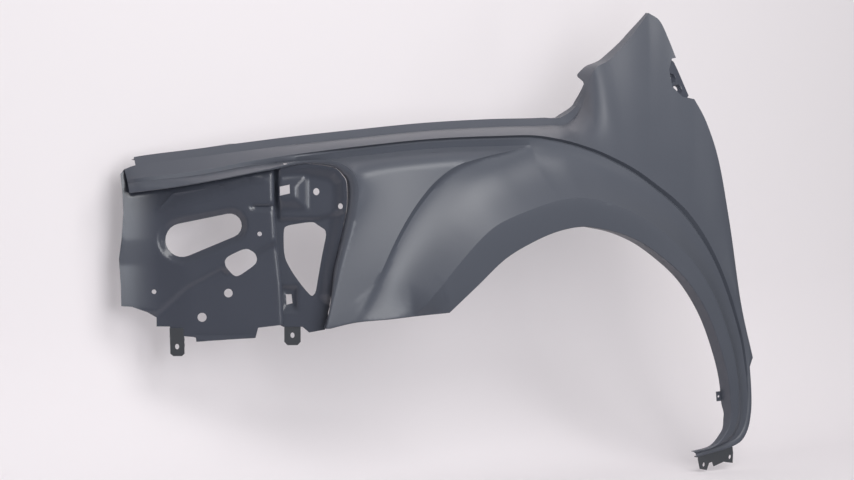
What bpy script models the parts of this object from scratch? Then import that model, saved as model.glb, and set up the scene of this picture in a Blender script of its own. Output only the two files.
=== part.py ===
import math

import bpy
import bmesh
from mathutils import Vector
from mathutils.geometry import delaunay_2d_cdt

# Start from an empty scene
for old_object in list(bpy.data.objects):
    bpy.data.objects.remove(old_object, do_unlink=True)

# Overall sizes of the skin, in metres: x runs back from the front end, y inboard from the widest
# point of the flare, z up from the rear foot
fender_length = 1.334
fender_depth = 0.408
fender_height = 0.936
skin_sheet = 0.0009
panel_sheet = 0.0012
bracket_sheet = 0.0018
piece_gap = 0.0003

# Guide lines of the pressing as (station, shares of length, depth and height)
# The upper edge: hood fold, spike, door edge, foot
upper_edge_shares = (
    (0, 0.003, 1.000, 0.672),
    (1, 0.019, 0.980, 0.680),
    (3, 0.109, 0.850, 0.697),
    (6, 0.247, 0.672, 0.721),
    (8, 0.338, 0.583, 0.733),
    (10, 0.444, 0.500, 0.745),
    (12, 0.556, 0.436, 0.751),
    (14, 0.658, 0.397, 0.752),
    (15, 0.696, 0.385, 0.755),
    (16, 0.721, 0.370, 0.793),
    (17, 0.730, 0.358, 0.842),
    (18, 0.744, 0.350, 0.877),
    (19, 0.776, 0.353, 0.898),
    (20, 0.823, 0.373, 0.947),
    (21, 0.869, 0.404, 1.000),
    (22, 0.883, 0.368, 0.982),
    (23, 0.889, 0.319, 0.939),
    (24, 0.893, 0.275, 0.896),
    (25, 0.900, 0.235, 0.849),
    (26, 0.910, 0.203, 0.809),
    (27, 0.924, 0.167, 0.763),
    (28, 0.937, 0.132, 0.698),
    (30, 0.956, 0.091, 0.537),
    (32, 0.978, 0.071, 0.343),
    (34, 1.000, 0.054, 0.217),
    (34.5, 0.992, 0.049, 0.197),
    (35, 0.992, 0.039, 0.158),
    (36, 0.991, 0.034, 0.094),
    (37, 0.983, 0.044, 0.044),
    (38, 0.961, 0.064, 0.018),
    (39, 0.892, 0.098, 0.000),
)
upper_corner_stations = (21, 34, 34.5)

# The proud edge above the long crease
crease_shares = (
    (0, 0.002, 0.975, 0.650),
    (1, 0.013, 0.951, 0.654),
    (3, 0.098, 0.797, 0.670),
    (4, 0.144, 0.696, 0.683),
    (6, 0.225, 0.549, 0.703),
    (8, 0.316, 0.422, 0.719),
    (10, 0.413, 0.319, 0.731),
    (12, 0.521, 0.230, 0.735),
    (13, 0.575, 0.189, 0.735),
    (14, 0.615, 0.162, 0.727),
    (16, 0.677, 0.127, 0.704),
    (18, 0.722, 0.105, 0.679),
    (20, 0.762, 0.093, 0.652),
    (22, 0.801, 0.087, 0.619),
    (24, 0.838, 0.085, 0.586),
    (26, 0.871, 0.082, 0.548),
    (28, 0.908, 0.078, 0.487),
    (30, 0.942, 0.076, 0.409),
    (32, 0.968, 0.071, 0.321),
    (34, 0.985, 0.059, 0.226),
    (35, 0.987, 0.044, 0.165),
    (36, 0.986, 0.039, 0.103),
    (37, 0.978, 0.049, 0.053),
    (38, 0.956, 0.069, 0.027),
    (39, 0.890, 0.099, 0.006),
)

# The lower edge: border over the lamp, lamp rim, sill of the lamp, wheel arch
lower_edge_shares = (
    (0, 0.000, 0.941, 0.625),
    (2, 0.057, 0.804, 0.638),
    (4, 0.129, 0.642, 0.660),
    (5, 0.167, 0.569, 0.673),
    (6, 0.209, 0.490, 0.688),
    (7, 0.244, 0.395, 0.689),
    (8, 0.267, 0.338, 0.668),
    (9, 0.275, 0.319, 0.628),
    (10, 0.269, 0.326, 0.561),
    (11, 0.252, 0.350, 0.472),
    (12, 0.231, 0.380, 0.339),
    (13, 0.272, 0.322, 0.352),
    (14, 0.318, 0.255, 0.357),
    (15, 0.360, 0.196, 0.363),
    (16, 0.401, 0.135, 0.368),
    (17, 0.447, 0.103, 0.423),
    (18, 0.492, 0.076, 0.476),
    (19, 0.539, 0.056, 0.509),
    (20, 0.587, 0.042, 0.531),
    (21, 0.634, 0.032, 0.539),
    (22, 0.676, 0.025, 0.531),
    (24, 0.741, 0.015, 0.503),
    (26, 0.796, 0.010, 0.459),
    (28, 0.844, 0.005, 0.406),
    (30, 0.885, 0.005, 0.336),
    (32, 0.914, 0.005, 0.258),
    (34, 0.936, 0.007, 0.169),
    (35, 0.942, 0.012, 0.123),
    (36, 0.945, 0.020, 0.088),
    (37, 0.938, 0.032, 0.053),
    (38, 0.918, 0.059, 0.022),
    (39, 0.883, 0.090, 0.012),
)
lower_corner_stations = (12, 16)

# The line where the flare begins, from the crease down to the sill
flare_start_station = 13
flare_line_shares = (
    (0.000, 0.574, 0.185, 0.711),
    (0.096, 0.519, 0.163, 0.700),
    (0.179, 0.477, 0.156, 0.690),
    (0.275, 0.432, 0.161, 0.674),
    (0.377, 0.396, 0.185, 0.642),
    (0.471, 0.370, 0.209, 0.605),
    (0.632, 0.334, 0.247, 0.532),
    (0.759, 0.312, 0.272, 0.470),
    (0.873, 0.294, 0.295, 0.414),
    (1.000, 0.272, 0.322, 0.352),
)

# Crown of the flare as a share of the depth at each station
crown_shares = (
    (13, 0.275),
    (14, 0.245),
    (15, 0.186),
    (16, 0.123),
    (17, 0.091),
    (18, 0.066),
    (19, 0.047),
    (20, 0.032),
    (22, 0.015),
    (24, 0.005),
    (26, 0.000),
    (33, 0.000),
    (35, 0.007),
    (36, 0.015),
    (37, 0.027),
    (38, 0.062),
    (39, 0.092),
)
crown_place_share = 0.62

# Plan of the flat side in front of the flare
side_low_place_share = 0.648
side_low_share = 0.0735
side_bow_share = 1.758

# Groove under the crease, and the shelf under the groove
groove_width = 0.013
groove_width_shares = ((0, 0.31), (4, 0.31), (8, 0.54), (14, 0.62), (20, 0.77), (26, 1.0), (30, 0.69),
                       (34, 0.46), (36, 0.20), (39, 0.10))
groove_depth = 0.007
groove_depth_shares = ((0, 0.0), (5, 0.0), (8, 1.0), (34, 1.0), (36, 0.15), (39, 0.05))
groove_bottom_share = 0.6
groove_rise = 0.003
groove_rise_shares = ((0, 0.05), (5, 0.1), (8, 1.0), (34, 1.0), (36, 0.1), (39, 0.02))
shelf_wall = 0.013
shelf_wall_shares = ((0, 0.2), (4, 0.3), (7, 1.0), (12, 1.0), (14, 0.23), (34, 0.23), (36, 0.12),
                     (39, 0.06))
shelf_undercut = 0.005
shelf_undercut_shares = ((0, 0.0), (4, 0.0), (7, 1.0), (12, 1.0), (14, 0.0), (39, 0.0))
shoulder_width = 0.052
shoulder_power_share = 2.2
band_crown = 0.004
band_crown_slope_share = 0.08

# Step at the start of the flare
flare_step = 0.007
flare_step_station = 13.15
flare_step_shares = ((0, 0.0), (0.4, 1.0), (0.6, 1.0), (1.0, 0.1))

# Hood flange: gutter, ridge, bolt ledge, then the folded edge of spike and door
flange_width = 0.050
gutter_in_shares = ((0, 0.06), (39, 0.06))
ridge_in_shares = ((0, 0.44), (14, 0.44), (15, 0.38), (16, 0.28), (17, 0.14), (17.5, 0.46), (18, 0.40),
                   (19, 0.30), (20, 0.20), (21, 0.10), (24, 0.12), (30, 0.12), (36, 0.08), (39, 0.06))
ledge_in_shares = ((0, 0.52), (14, 0.52), (15, 0.46), (16, 0.34), (17, 0.20), (17.5, 0.70), (18, 0.60),
                   (19, 0.46), (20, 0.30), (21, 0.15), (24, 0.18), (30, 0.18), (36, 0.11), (39, 0.09))
flange_in_shares = ((0, 1.0), (14, 1.0), (15, 0.90), (16, 0.60), (17, 0.28), (17.5, 0.92), (18, 0.80),
                    (19, 0.60), (20, 0.40), (21, 0.20), (24, 0.24), (30, 0.24), (36, 0.15), (39, 0.12))
ridge_rise = 0.015
gutter_rise_shares = ((0, -0.2), (15, -0.2), (17, 0.0), (39, 0.0))
ridge_rise_shares = ((0, 1.0), (14, 1.0), (15, 0.9), (16, 0.4), (17, 0.0), (39, 0.0))
flange_start_station = 1

# Height of the bolt ledge, level at the three pads
ledge_height_shares = ((0, 0.680), (1, 0.690), (4, 0.721), (5, 0.721), (9, 0.7525), (10, 0.7525),
                       (13, 0.763), (14, 0.763), (15, 0.767), (16, 0.795), (17, 0.842))
pad_hole_stations = (4.3, 9.3, 13.3)
pad_home_station = 9.7
pad_hole_radius = 0.0045

# Return flange of the lower edge
lamp_flange_depth = 0.046
return_least = 0.003
return_width = 0.029
return_width_shares = ((11.9, 0.48), (16, 0.48), (19, 1.0), (35, 1.0), (36, 0.75), (37, 0.5), (39, 0.2))
turn_radius = 0.023
turn_radius_shares = ((0, 0.09), (4, 0.09), (6, 0.26), (7, 0.52), (8, 0.87), (9, 1.0), (10, 0.87),
                      (11, 0.61), (11.8, 0.17), (12, 0.09), (39, 0.09))

# Liner ear on the arch flange
ear_stations = (34.5, 35.0)
ear_length = 0.012
ear_hole_radius = 0.0025

# Steps of the skin grid
columns_per_station = 2
band_steps = 4
lower_row_shares = (0.04, 0.09, 0.15, 0.22, 0.3, 0.4, 0.51, 0.62, 0.75, 0.88, 1.0)
turn_steps = 3

# Plane of the headlamp panels: it runs from the rim's lower corner to the front end
lamp_rear_shares = (0.2324, 0.3848)
lamp_front_shares = (0.0, 0.9784)
lamp_datum_share = 0.1207
lamp_step_back = fender_length * (lamp_rear_shares[0] - lamp_front_shares[0])
lamp_step_in = fender_depth * (lamp_front_shares[1] - lamp_rear_shares[1])
lamp_angle = math.atan2(lamp_step_in, lamp_step_back)
lamp_run = math.hypot(lamp_step_in, lamp_step_back)
lamp_point = Vector((fender_length * lamp_rear_shares[0], fender_depth * lamp_rear_shares[1],
                     fender_height * lamp_datum_share))
lamp_out = Vector((-math.sin(lamp_angle), -math.cos(lamp_angle), 0))
lamp_along = Vector((-math.cos(lamp_angle), math.sin(lamp_angle), 0))
up = Vector((0, 0, 1))
inboard = Vector((0, 1, 0))

# Front panel in its own plane, as shares of that run and of the height
front_panel_depth = 0.022
front_outline_shares = ((1.008, 0.551), (1.027, 0.541), (1.017, 0.497), (1.014, 0.459), (1.024, 0.403),
                        (1.037, 0.363), (1.029, 0.309), (1.027, 0.264), (0.976, 0.262), (0.902, 0.250),
                        (0.857, 0.238), (0.857, 0.219), (0.791, 0.219), (0.780, 0.201), (0.658, 0.197),
                        (0.656, 0.188), (0.361, 0.197), (0.348, 0.217))
front_skin_corner_shares = (0.988, 0.501)
bend_line_shares = ((0.551, 0.287), (0.486, 0.285), (0.460, 0.282), (0.407, 0.275), (0.308, 0.249),
                    (0.218, 0.239))
bend_radius = 0.006
bend_depth = 0.016
bend_drop = 0.004
bend_height_shares = (0.486, 0.433, 0.353, 0.278, 0.225)
oblong_end_shares = ((0.727, 0.401), (0.488, 0.432))
oblong_radii = (0.033, 0.0235)
quad_hole_shares = ((0.513, 0.359), (0.496, 0.368), (0.427, 0.382), (0.397, 0.384), (0.361, 0.375),
                    (0.351, 0.361), (0.361, 0.350), (0.435, 0.328), (0.458, 0.325), (0.475, 0.329),
                    (0.508, 0.345))
front_hole_shares = ((0.628, 0.239), (0.496, 0.290), (0.867, 0.293), (0.338, 0.415))
front_hole_radii = (0.009, 0.0085, 0.0045, 0.0045)
strip_line_shares = ((0.551, 0.999), (0.502, 0.986), (0.403, 0.984), (0.350, 1.002), (0.265, 0.991))
strip_rise = 0.008
strip_slope_width = 0.045
step_line_shares = ((0.277, 0.394), (0.496, 0.333), (0.526, 0.343), (0.702, 0.303), (0.857, 0.245),
                    (0.902, 0.248))
step_drop = 0.007
step_width = 0.014
wedge_low_line_shares = ((0.399, 0.526), (0.585, 0.490), (0.844, 0.465))
wedge_high_line_shares = ((0.305, 0.528), (0.623, 0.509), (0.768, 0.500), (0.844, 0.465))
wedge_rise = 0.006
lip_height_share = 0.203
lip_rise = 0.007
lip_reach_share = 0.666
rim_roll = 0.006
rim_roll_width = 0.012
bead_height_share = 0.471
bead_depth = 0.006
bead_half_width = 0.007
bead_reach_share = 0.394
panel_step = 0.012

# Rear panel
rear_panel_depth = front_panel_depth + bend_depth + piece_gap
rear_outline_low_shares = ((0.015, 0.212), (0.094, 0.206), (0.127, 0.218), (0.224, 0.218))
rear_overlap = 0.006
rear_overlap_top_share = 0.540
triangle_hole_shares = ((0.221, 0.425), (0.201, 0.432), (0.074, 0.440), (0.048, 0.432), (0.003, 0.420),
                        (0.028, 0.371), (0.051, 0.316), (0.061, 0.290), (0.081, 0.281), (0.125, 0.302),
                        (0.180, 0.334), (0.219, 0.366))
square_hole_shares = ((0.239, 0.514), (0.188, 0.519), (0.186, 0.500), (0.239, 0.495))
lower_slot_shares = ((0.211, 0.286), (0.183, 0.286), (0.178, 0.267), (0.208, 0.264))
rear_hole_shares = ((0.056, 0.503), (-0.064, 0.473))
rear_hole_radii = (0.006, 0.005)
hole_stretch_share = 1.15
rear_rise = 0.012
rear_rise_width = 0.030
boss_centre_shares = (0.203, 0.502)
boss_half = (0.030, 0.024)
boss_rise = 0.009
dimple_centre_shares = (0.196, 0.278)
dimple_half = (0.014, 0.022)
dimple_drop = 0.005
ledge_line_shares = ((0.153, 0.440), (0.046, 0.441), (-0.084, 0.456), (-0.178, 0.464))
ledge_rise = 0.007
ledge_slope = 0.010
soft_edge = 0.012

# Bumper tabs in the same plane
front_tab_outline_shares = ((0.791, 0.216), (0.719, 0.216), (0.717, 0.162), (0.730, 0.157),
                            (0.773, 0.157), (0.788, 0.162))
front_tab_slot_shares = (0.754, 0.177)
rear_tab_outline_shares = ((0.219, 0.228), (0.137, 0.228), (0.137, 0.186), (0.153, 0.179),
                           (0.203, 0.179), (0.219, 0.186))
rear_tab_slot_shares = (0.178, 0.200)
tab_slot_radii = (0.004, 0.0055)

# Rear foot bracket: share of the last stretch of the skin's foot, and drop below its fold
foot_end_shares = (0.033, 0.968)
foot_shares = (0.033, 0.088, 0.272, 0.338, 0.424, 0.468, 0.740, 0.989, 1.000)
foot_drops = (0.0053, 0.0271, 0.0338, 0.0197, 0.0190, 0.0296, 0.0258, 0.0352, 0.0139)
foot_flange_width = 0.012
foot_slot_shares = (0.191, 0.913)
foot_slot_drop = 0.020
foot_slot_radii = (0.003, 0.0045)

# Hinge pocket behind the notch in the door edge: distance in from the edge, and rise above its middle
pocket_station = 25
pocket_depth = 0.014
pocket_slope = 0.010
pocket_lift_share = 1.45
pocket_outline = ((0.005, 0.060), (0.0225, 0.056), (0.040, 0.030), (0.055, -0.020), (0.041, -0.048),
                  (0.005, -0.048), (0.004, -0.030), (0.004, 0.008), (0.004, 0.045))
notch_outline = ((0.010, 0.045), (0.028, 0.022), (0.040, -0.014), (0.027, -0.035), (-0.010, -0.042),
                 (-0.035, 0.053))
notch_inner_points = 4
pocket_holes = ((0.0185, 0.004), (0.017, -0.020))
pocket_hole_radii = (0.006, 0.007)

round_sides = 20


# Plain number helpers
def ease(value):
    value = min(1, max(0, value))
    return value * value * (3 - 2 * value)


def eased(table, place):
    if place <= table[0][0]:
        return table[0][1]
    for left, right in zip(table, table[1:]):
        if place <= right[0]:
            return left[1] + (right[1] - left[1]) * ease((place - left[0]) / (right[0] - left[0]))
    return table[-1][1]


def straight(table, place):
    if place <= table[0][0]:
        return table[0][1]
    for left, right in zip(table, table[1:]):
        if place <= right[0]:
            return left[1] + (right[1] - left[1]) * (place - left[0]) / (right[0] - left[0])
    return table[-1][1]


# A smooth line through the rows of a table, broken at its corners
def on_line(table, corners, place):
    place = min(table[-1][0], max(table[0][0], place))
    index = 0
    while index < len(table) - 2 and table[index + 1][0] <= place:
        index += 1
    left = table[index]
    right = table[index + 1]
    span = right[0] - left[0]
    share = (place - left[0]) / span
    rise = [(b - a) / span for a, b in zip(left[1:], right[1:])]
    slopes = []
    for row, near in ((index, index - 1), (index + 1, index + 1)):
        if row in (0, len(table) - 1) or table[row][0] in corners:
            slopes.append(rise)
            continue
        before = table[near]
        after = table[near + 1]
        other_span = after[0] - before[0]
        other = [(b - a) / other_span for a, b in zip(before[1:], after[1:])]
        slopes.append([(a * other_span + b * span) / (span + other_span) for a, b in zip(rise, other)])
    square = share * share
    cube = square * share
    values = []
    for a, b, slope_a, slope_b in zip(left[1:], right[1:], slopes[0], slopes[1]):
        values.append((2 * cube - 3 * square + 1) * a + (3 * square - 2 * cube) * b
                      + span * ((cube - 2 * square + share) * slope_a + (cube - square) * slope_b))
    return Vector((values[0] * fender_length, values[1] * fender_depth, values[2] * fender_height))


def upper_edge(station):
    return on_line(upper_edge_shares, upper_corner_stations, station)


def crease(station):
    return on_line(crease_shares, (), station)


def lower_edge(station):
    return on_line(lower_edge_shares, lower_corner_stations, station)


def tangent(line, station):
    reach = 0.05
    return (line(min(39, station + reach)) - line(max(0, station - reach))).normalized()


# The band from the upper edge down to the crease
def band_point(station, share):
    top = upper_edge(station)
    foot = crease(station)
    out = (foot - top).cross(tangent(crease, station)).normalized()
    height = min(band_crown, (foot - top).length * band_crown_slope_share)
    return top.lerp(foot, share) + out * height * 4 * share * (1 - share)


# The groove below the crease and the wall under it
def groove_points(station):
    top = crease(station)
    along = tangent(crease, station)
    across = Vector((along.z, 0, -along.x)).normalized()
    width = groove_width * eased(groove_width_shares, station)
    depth = groove_depth * eased(groove_depth_shares, station)
    rise = groove_rise * eased(groove_rise_shares, station)
    bottom = top + across * width * groove_bottom_share + inboard * depth
    edge = top + across * width + inboard * rise
    foot = (edge + across * shelf_wall * eased(shelf_wall_shares, station)
            + inboard * shelf_undercut * eased(shelf_undercut_shares, station))
    return bottom, edge, foot


def wall_foot(station):
    return groove_points(station)[2]


# The station whose wall foot lies at a place along the length
def station_at(place):
    low = 3.0
    high = 16.0
    for turn in range(14):
        middle = (low + high) / 2
        if wall_foot(middle).x < place:
            low = middle
        else:
            high = middle
    return (low + high) / 2


# The flat side with its rounded shoulder under the shelf
def side_depth(point):
    place = point.x / fender_length
    flat = fender_depth * (side_low_share + side_bow_share * (side_low_place_share - place) ** 2)
    foot = wall_foot(station_at(point.x))
    drop = max(0, foot.z - point.z)
    shoulder = max(0, 1 - drop / shoulder_width) ** shoulder_power_share
    return flat + (foot.y - flat) * shoulder


# A point of the face below the crease: share 0 at the wall foot, 1 at the lower edge
def lower_point(station, share):
    top = wall_foot(station)
    end = lower_edge(station)
    point = top.lerp(end, share)
    start_top = wall_foot(flare_start_station)
    start_end = lower_edge(flare_start_station)
    flare_line = on_line(flare_line_shares, (), share)
    bulge = flare_line - start_top.lerp(start_end, share)
    if station <= flare_start_station:
        weight = max(0, (station - 6) / (flare_start_station - 6)) ** 2.5
    else:
        weight = max(0, 1 - (station - flare_start_station) / 5) ** 1.5
    point.x += weight * bulge.x
    point.z += weight * bulge.z
    if station <= flare_start_station:
        side = side_depth(point) + (end.y - side_depth(end)) * share * share
        side += (top.y - side_depth(top)) * (1 - share) ** 2
        point.y += (side - point.y) * ease((station - 4) / 3)
        return point
    crown = fender_depth * eased(crown_shares, station)
    if share < crown_place_share:
        flare = top.y + (crown - top.y) * (1 - (1 - share / crown_place_share) ** 2)
    else:
        flare = crown + (end.y - crown) * ((share - crown_place_share) / (1 - crown_place_share)) ** 2
    start = lower_point(flare_start_station, share).y + flare_step * eased(flare_step_shares, share)
    start += (top.y - start_top.y) * (1 - share) ** 4
    point.y = start + (flare - start) * ease((station - flare_step_station) / 2.85)
    return point


# The return flange: a round turn off the lower edge, then a straight wall
def turn_frame(station):
    lamp_share = 1 - ease((station - 11.8) / 0.4)
    inward = (-lamp_out * lamp_share + inboard * (1 - lamp_share)).normalized()
    out = inward.cross(tangent(lower_edge, station)).normalized()
    return lower_edge(station), out, inward


def turn_points(station):
    edge, out, inward = turn_frame(station)
    radius = turn_radius * eased(turn_radius_shares, station)
    points = []
    for step in range(1, turn_steps + 1):
        angle = math.pi / 2 * step / turn_steps
        points.append(edge + out * radius * math.sin(angle) + inward * radius * (1 - math.cos(angle)))
    last = points[-1]
    if station < 11.9:
        width = max(return_least, (last - lamp_point).dot(lamp_out) + lamp_flange_depth)
    else:
        width = return_width * eased(return_width_shares, station)
    points.append(last + inward * width)
    return points


# The hood flange and the folded edge above the upper edge, from its free edge outwards
def flange_points(station):
    edge = upper_edge(station)
    along = tangent(upper_edge, station)
    plan = Vector((-along.y, along.x, 0))
    turn = ease((station - 14) / 2)
    inward = (plan.normalized() * (1 - turn) + inboard * turn).normalized()
    points = []
    for shares in (flange_in_shares, ledge_in_shares, ridge_in_shares, gutter_in_shares):
        points.append(edge + inward * flange_width * eased(shares, station))
    points[2] += up * ridge_rise * eased(ridge_rise_shares, station)
    points[3] += up * ridge_rise * eased(gutter_rise_shares, station)
    if station <= 17:
        ledge = fender_height * straight(ledge_height_shares, station)
        level = 1 - ease((station - 16) / 1)
        for point in points[:2]:
            point.z += (ledge - point.z) * level
    return points


def pad_point(station):
    points = flange_points(station)
    return (points[0] + points[1]) / 2


# The part's own frame sits on the middle bolt pad
home = pad_point(pad_home_station)


# Mesh helpers
def make_material(name, color, roughness, metallic):
    material = bpy.data.materials.new(name)
    material.use_nodes = True
    shader = material.node_tree.nodes["Principled BSDF"]
    shader.inputs["Base Color"].default_value = color
    shader.inputs["Roughness"].default_value = roughness
    shader.inputs["Metallic"].default_value = metallic
    return material


skin_paint = make_material("skin_primer", (0.075, 0.090, 0.108, 1), 0.42, 0.0)
panel_paint = make_material("panel_primer", (0.032, 0.038, 0.048, 1), 0.25, 0.0)
bracket_paint = make_material("bracket_primer", (0.045, 0.052, 0.062, 1), 0.4, 0.0)


def add_object(name, points, faces, material):
    mesh = bpy.data.meshes.new(name)
    mesh.from_pydata([tuple(point - home) for point in points], [], faces)
    result = bpy.data.objects.new(name, mesh)
    bpy.context.scene.collection.objects.link(result)
    result.data.materials.append(material.copy())
    work = bmesh.new()
    work.from_mesh(mesh)
    loose = [vertex for vertex in work.verts if not vertex.link_faces]
    bmesh.ops.delete(work, geom=loose, context="VERTS")
    work.to_mesh(mesh)
    work.free()
    return result


# Give a surface its sheet thickness on the side away from the viewer
def thicken(target, thickness, even):
    solid = target.modifiers.new("sheet", "SOLIDIFY")
    solid.thickness = thickness
    solid.offset = -1
    solid.use_even_offset = even
    solid.use_rim = True
    apply_modifiers(target)


def apply_modifiers(target):
    bpy.ops.object.select_all(action="DESELECT")
    bpy.context.view_layer.objects.active = target
    target.select_set(True)
    for modifier in list(target.modifiers):
        bpy.ops.object.modifier_apply(modifier=modifier.name)


def finish(target, angle):
    bpy.ops.object.select_all(action="DESELECT")
    bpy.context.view_layer.objects.active = target
    target.select_set(True)
    work = bmesh.new()
    work.from_mesh(target.data)
    bmesh.ops.triangulate(work, faces=work.faces[:])
    bmesh.ops.recalc_face_normals(work, faces=work.faces[:])
    work.to_mesh(target.data)
    work.free()
    bpy.ops.object.shade_smooth()
    target.data.set_sharp_from_angle(angle=math.radians(angle))


# A prism between two copies of an outline, used to cut
def cut_prism(target, outline, shift):
    count = len(outline)
    points = [point - shift for point in outline] + [point + shift for point in outline]
    faces = [tuple(range(count)), tuple(range(2 * count - 1, count - 1, -1))]
    for index in range(count):
        after = (index + 1) % count
        faces.append((after, index, count + index, count + after))
    cutter = add_object("cutter_" + target.name, points, faces, bracket_paint)
    work = bmesh.new()
    work.from_mesh(cutter.data)
    bmesh.ops.recalc_face_normals(work, faces=work.faces[:])
    work.to_mesh(cutter.data)
    work.free()
    cutter.hide_render = True
    cutter.display_type = "WIRE"
    cut = target.modifiers.new("cut", "BOOLEAN")
    cut.operation = "DIFFERENCE"
    cut.solver = "EXACT"
    cut.object = cutter
    apply_modifiers(target)
    bpy.data.objects.remove(cutter, do_unlink=True)


def round_outline(centre, first_axis, second_axis, radius, second_radius):
    points = []
    for index in range(round_sides):
        angle = 2 * math.pi * index / round_sides
        points.append(centre + first_axis * radius * math.cos(angle)
                      + second_axis * second_radius * math.sin(angle))
    return points


# The pressed outer skin
def skin_stations():
    stations = [index / columns_per_station for index in range(39 * columns_per_station + 1)]
    stations += [flare_step_station, 11.8]
    return sorted(set(stations))


def skin_column(station):
    points = flange_points(station)
    points += [band_point(station, step / band_steps) for step in range(band_steps + 1)]
    points += groove_points(station)
    points += [lower_point(station, share) for share in lower_row_shares]
    points += turn_points(station)
    points.append(points[-1] - Vector((ear_length, 0, 0)))
    return points


def build_skin():
    stations = skin_stations()
    points = []
    for station in stations:
        points += skin_column(station)
    rows = len(points) // len(stations)
    faces = []
    for column in range(len(stations) - 1):
        left = stations[column]
        right = stations[column + 1]
        for row in range(rows - 1):
            if row < 4 and left < flange_start_station:
                continue
            if row == rows - 2 and not (left >= ear_stations[0] and right <= ear_stations[1]):
                continue
            first = column * rows + row
            faces.append((first, first + 1, first + rows + 1, first + rows))
    skin = add_object("outer_skin", points, faces, skin_paint)
    thicken(skin, skin_sheet, True)
    for station in pad_hole_stations:
        outline = round_outline(pad_point(station), Vector((1, 0, 0)), inboard, pad_hole_radius,
                                pad_hole_radius)
        cut_prism(skin, outline, up * 0.5 * ridge_rise)
    ear = turn_points(sum(ear_stations) / 2)[-1] - Vector((ear_length / 2, 0, 0))
    outline = round_outline(ear, Vector((1, 0, 0)), up, ear_hole_radius, ear_hole_radius)
    cut_prism(skin, outline, inboard * ear_length)
    cut_prism(skin, [Vector((x, 0, z)) for x, z in notch], inboard * fender_depth)
    finish(skin, 32)


# Flat tests used by the pressed panels
def inside(polygon, x, y):
    found = False
    for index, (x_a, y_a) in enumerate(polygon):
        x_b, y_b = polygon[index - 1]
        if (y_a > y) != (y_b > y) and x < x_a + (y - y_a) * (x_b - x_a) / (y_b - y_a):
            found = not found
    return found


def away(line, x, y, closed):
    best = fender_length
    pairs = list(zip(line, line[1:]))
    if closed:
        pairs.append((line[-1], line[0]))
    for (x_a, y_a), (x_b, y_b) in pairs:
        run = (x_b - x_a, y_b - y_a)
        size = run[0] ** 2 + run[1] ** 2
        share = min(1, max(0, ((x - x_a) * run[0] + (y - y_a) * run[1]) / size))
        best = min(best, math.hypot(x - x_a - share * run[0], y - y_a - share * run[1]))
    return best


# A sheet cut to an outline with holes, then pressed by a function that gives points in space
def pressed_sheet(name, outline, holes, lines, place, step, thickness, material, angle):
    loops = [list(outline)] + [list(hole) for hole in holes]
    flat = []
    edges = []
    for loop in loops + lines:
        closed = loop in loops
        dense = []
        for index, first in enumerate(loop if closed else loop[:-1]):
            second = loop[(index + 1) % len(loop)]
            length = math.hypot(second[0] - first[0], second[1] - first[1])
            parts = max(1, round(length / (1.3 * step)))
            for part in range(parts):
                share = part / parts
                dense.append((first[0] + share * (second[0] - first[0]),
                              first[1] + share * (second[1] - first[1])))
        if not closed:
            dense.append(loop[-1])
        start = len(flat)
        flat += dense
        edges += [(start + index, start + index + 1) for index in range(len(dense) - 1)]
        if closed:
            edges.append((start + len(dense) - 1, start))
    left = min(point[0] for point in outline)
    right = max(point[0] for point in outline)
    low = min(point[1] for point in outline)
    high = max(point[1] for point in outline)
    for row in range(1, int((high - low) / step) + 1):
        for column in range(1, int((right - left) / step) + 1):
            x = left + (column + 0.5 * (row % 2)) * step
            y = low + row * step
            if not inside(outline, x, y) or any(inside(hole, x, y) for hole in holes):
                continue
            near = [away(loop, x, y, True) for loop in loops] + [away(line, x, y, False) for line in lines]
            if min(near) > 0.45 * step:
                flat.append((x, y))
    tolerance = 0.01 * piece_gap
    result = delaunay_2d_cdt([Vector(point) for point in flat], edges, [], 0, tolerance)
    faces = []
    for face in result[2]:
        x = sum(result[0][corner].x for corner in face) / 3
        y = sum(result[0][corner].y for corner in face) / 3
        if inside(outline, x, y) and not any(inside(hole, x, y) for hole in holes):
            faces.append(tuple(face))
    points = [place(vertex.x, vertex.y) for vertex in result[0]]
    facing = 0
    for face in faces:
        first, second, third = [points[corner] for corner in face]
        facing += (second - first).cross(third - first).y
    if facing > 0:
        faces = [tuple(reversed(face)) for face in faces]
    sheet = add_object(name, points, faces, material)
    thicken(sheet, thickness, False)
    finish(sheet, angle)
    return sheet


def lamp_place(along, height, out):
    return lamp_point + lamp_along * along + lamp_out * out + up * height


def circle_hole(centre, radius, second_radius):
    return [(centre[0] + radius * math.cos(2 * math.pi * index / round_sides),
             centre[1] + second_radius * math.sin(2 * math.pi * index / round_sides))
            for index in range(round_sides)]


# The long hole: two round ends of different size joined by straight sides
def oblong_hole():
    (x_a, y_a), (x_b, y_b) = flat(oblong_end_shares)
    radius_a, radius_b = oblong_radii
    lean = math.atan2(y_b - y_a, x_b - x_a)
    tilt = math.acos((radius_a - radius_b) / math.hypot(x_b - x_a, y_b - y_a))
    points = []
    for index in range(13):
        angle = lean + tilt + (2 * math.pi - 2 * tilt) * index / 12
        points.append((x_a + radius_a * math.cos(angle), y_a + radius_a * math.sin(angle)))
    for index in range(9):
        angle = lean - tilt + 2 * tilt * index / 8
        points.append((x_b + radius_b * math.cos(angle), y_b + radius_b * math.sin(angle)))
    return points


# Shares of the lamp plane made into lengths
def flat(shares):
    if isinstance(shares[0], (int, float)):
        return (shares[0] * lamp_run, shares[1] * fender_height)
    return [flat(pair) for pair in shares]


# Points of the lamp opening where the return flange wall stands, seen square to the panels
def wall_outline(first, last, step):
    points = []
    station = first
    while station <= last + 1e-9:
        edge, out, inward = turn_frame(station)
        wall = turn_points(station)[turn_steps - 1] + out * piece_gap * 1.5
        offset = wall - lamp_point
        points.append((offset.dot(lamp_along), offset.z))
        station += step
    return points


# How far a place lies above a line given as shares, and where an upright line stands at a height
def above(line, along, height):
    return height - fender_height * straight(line, along / lamp_run)


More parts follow.
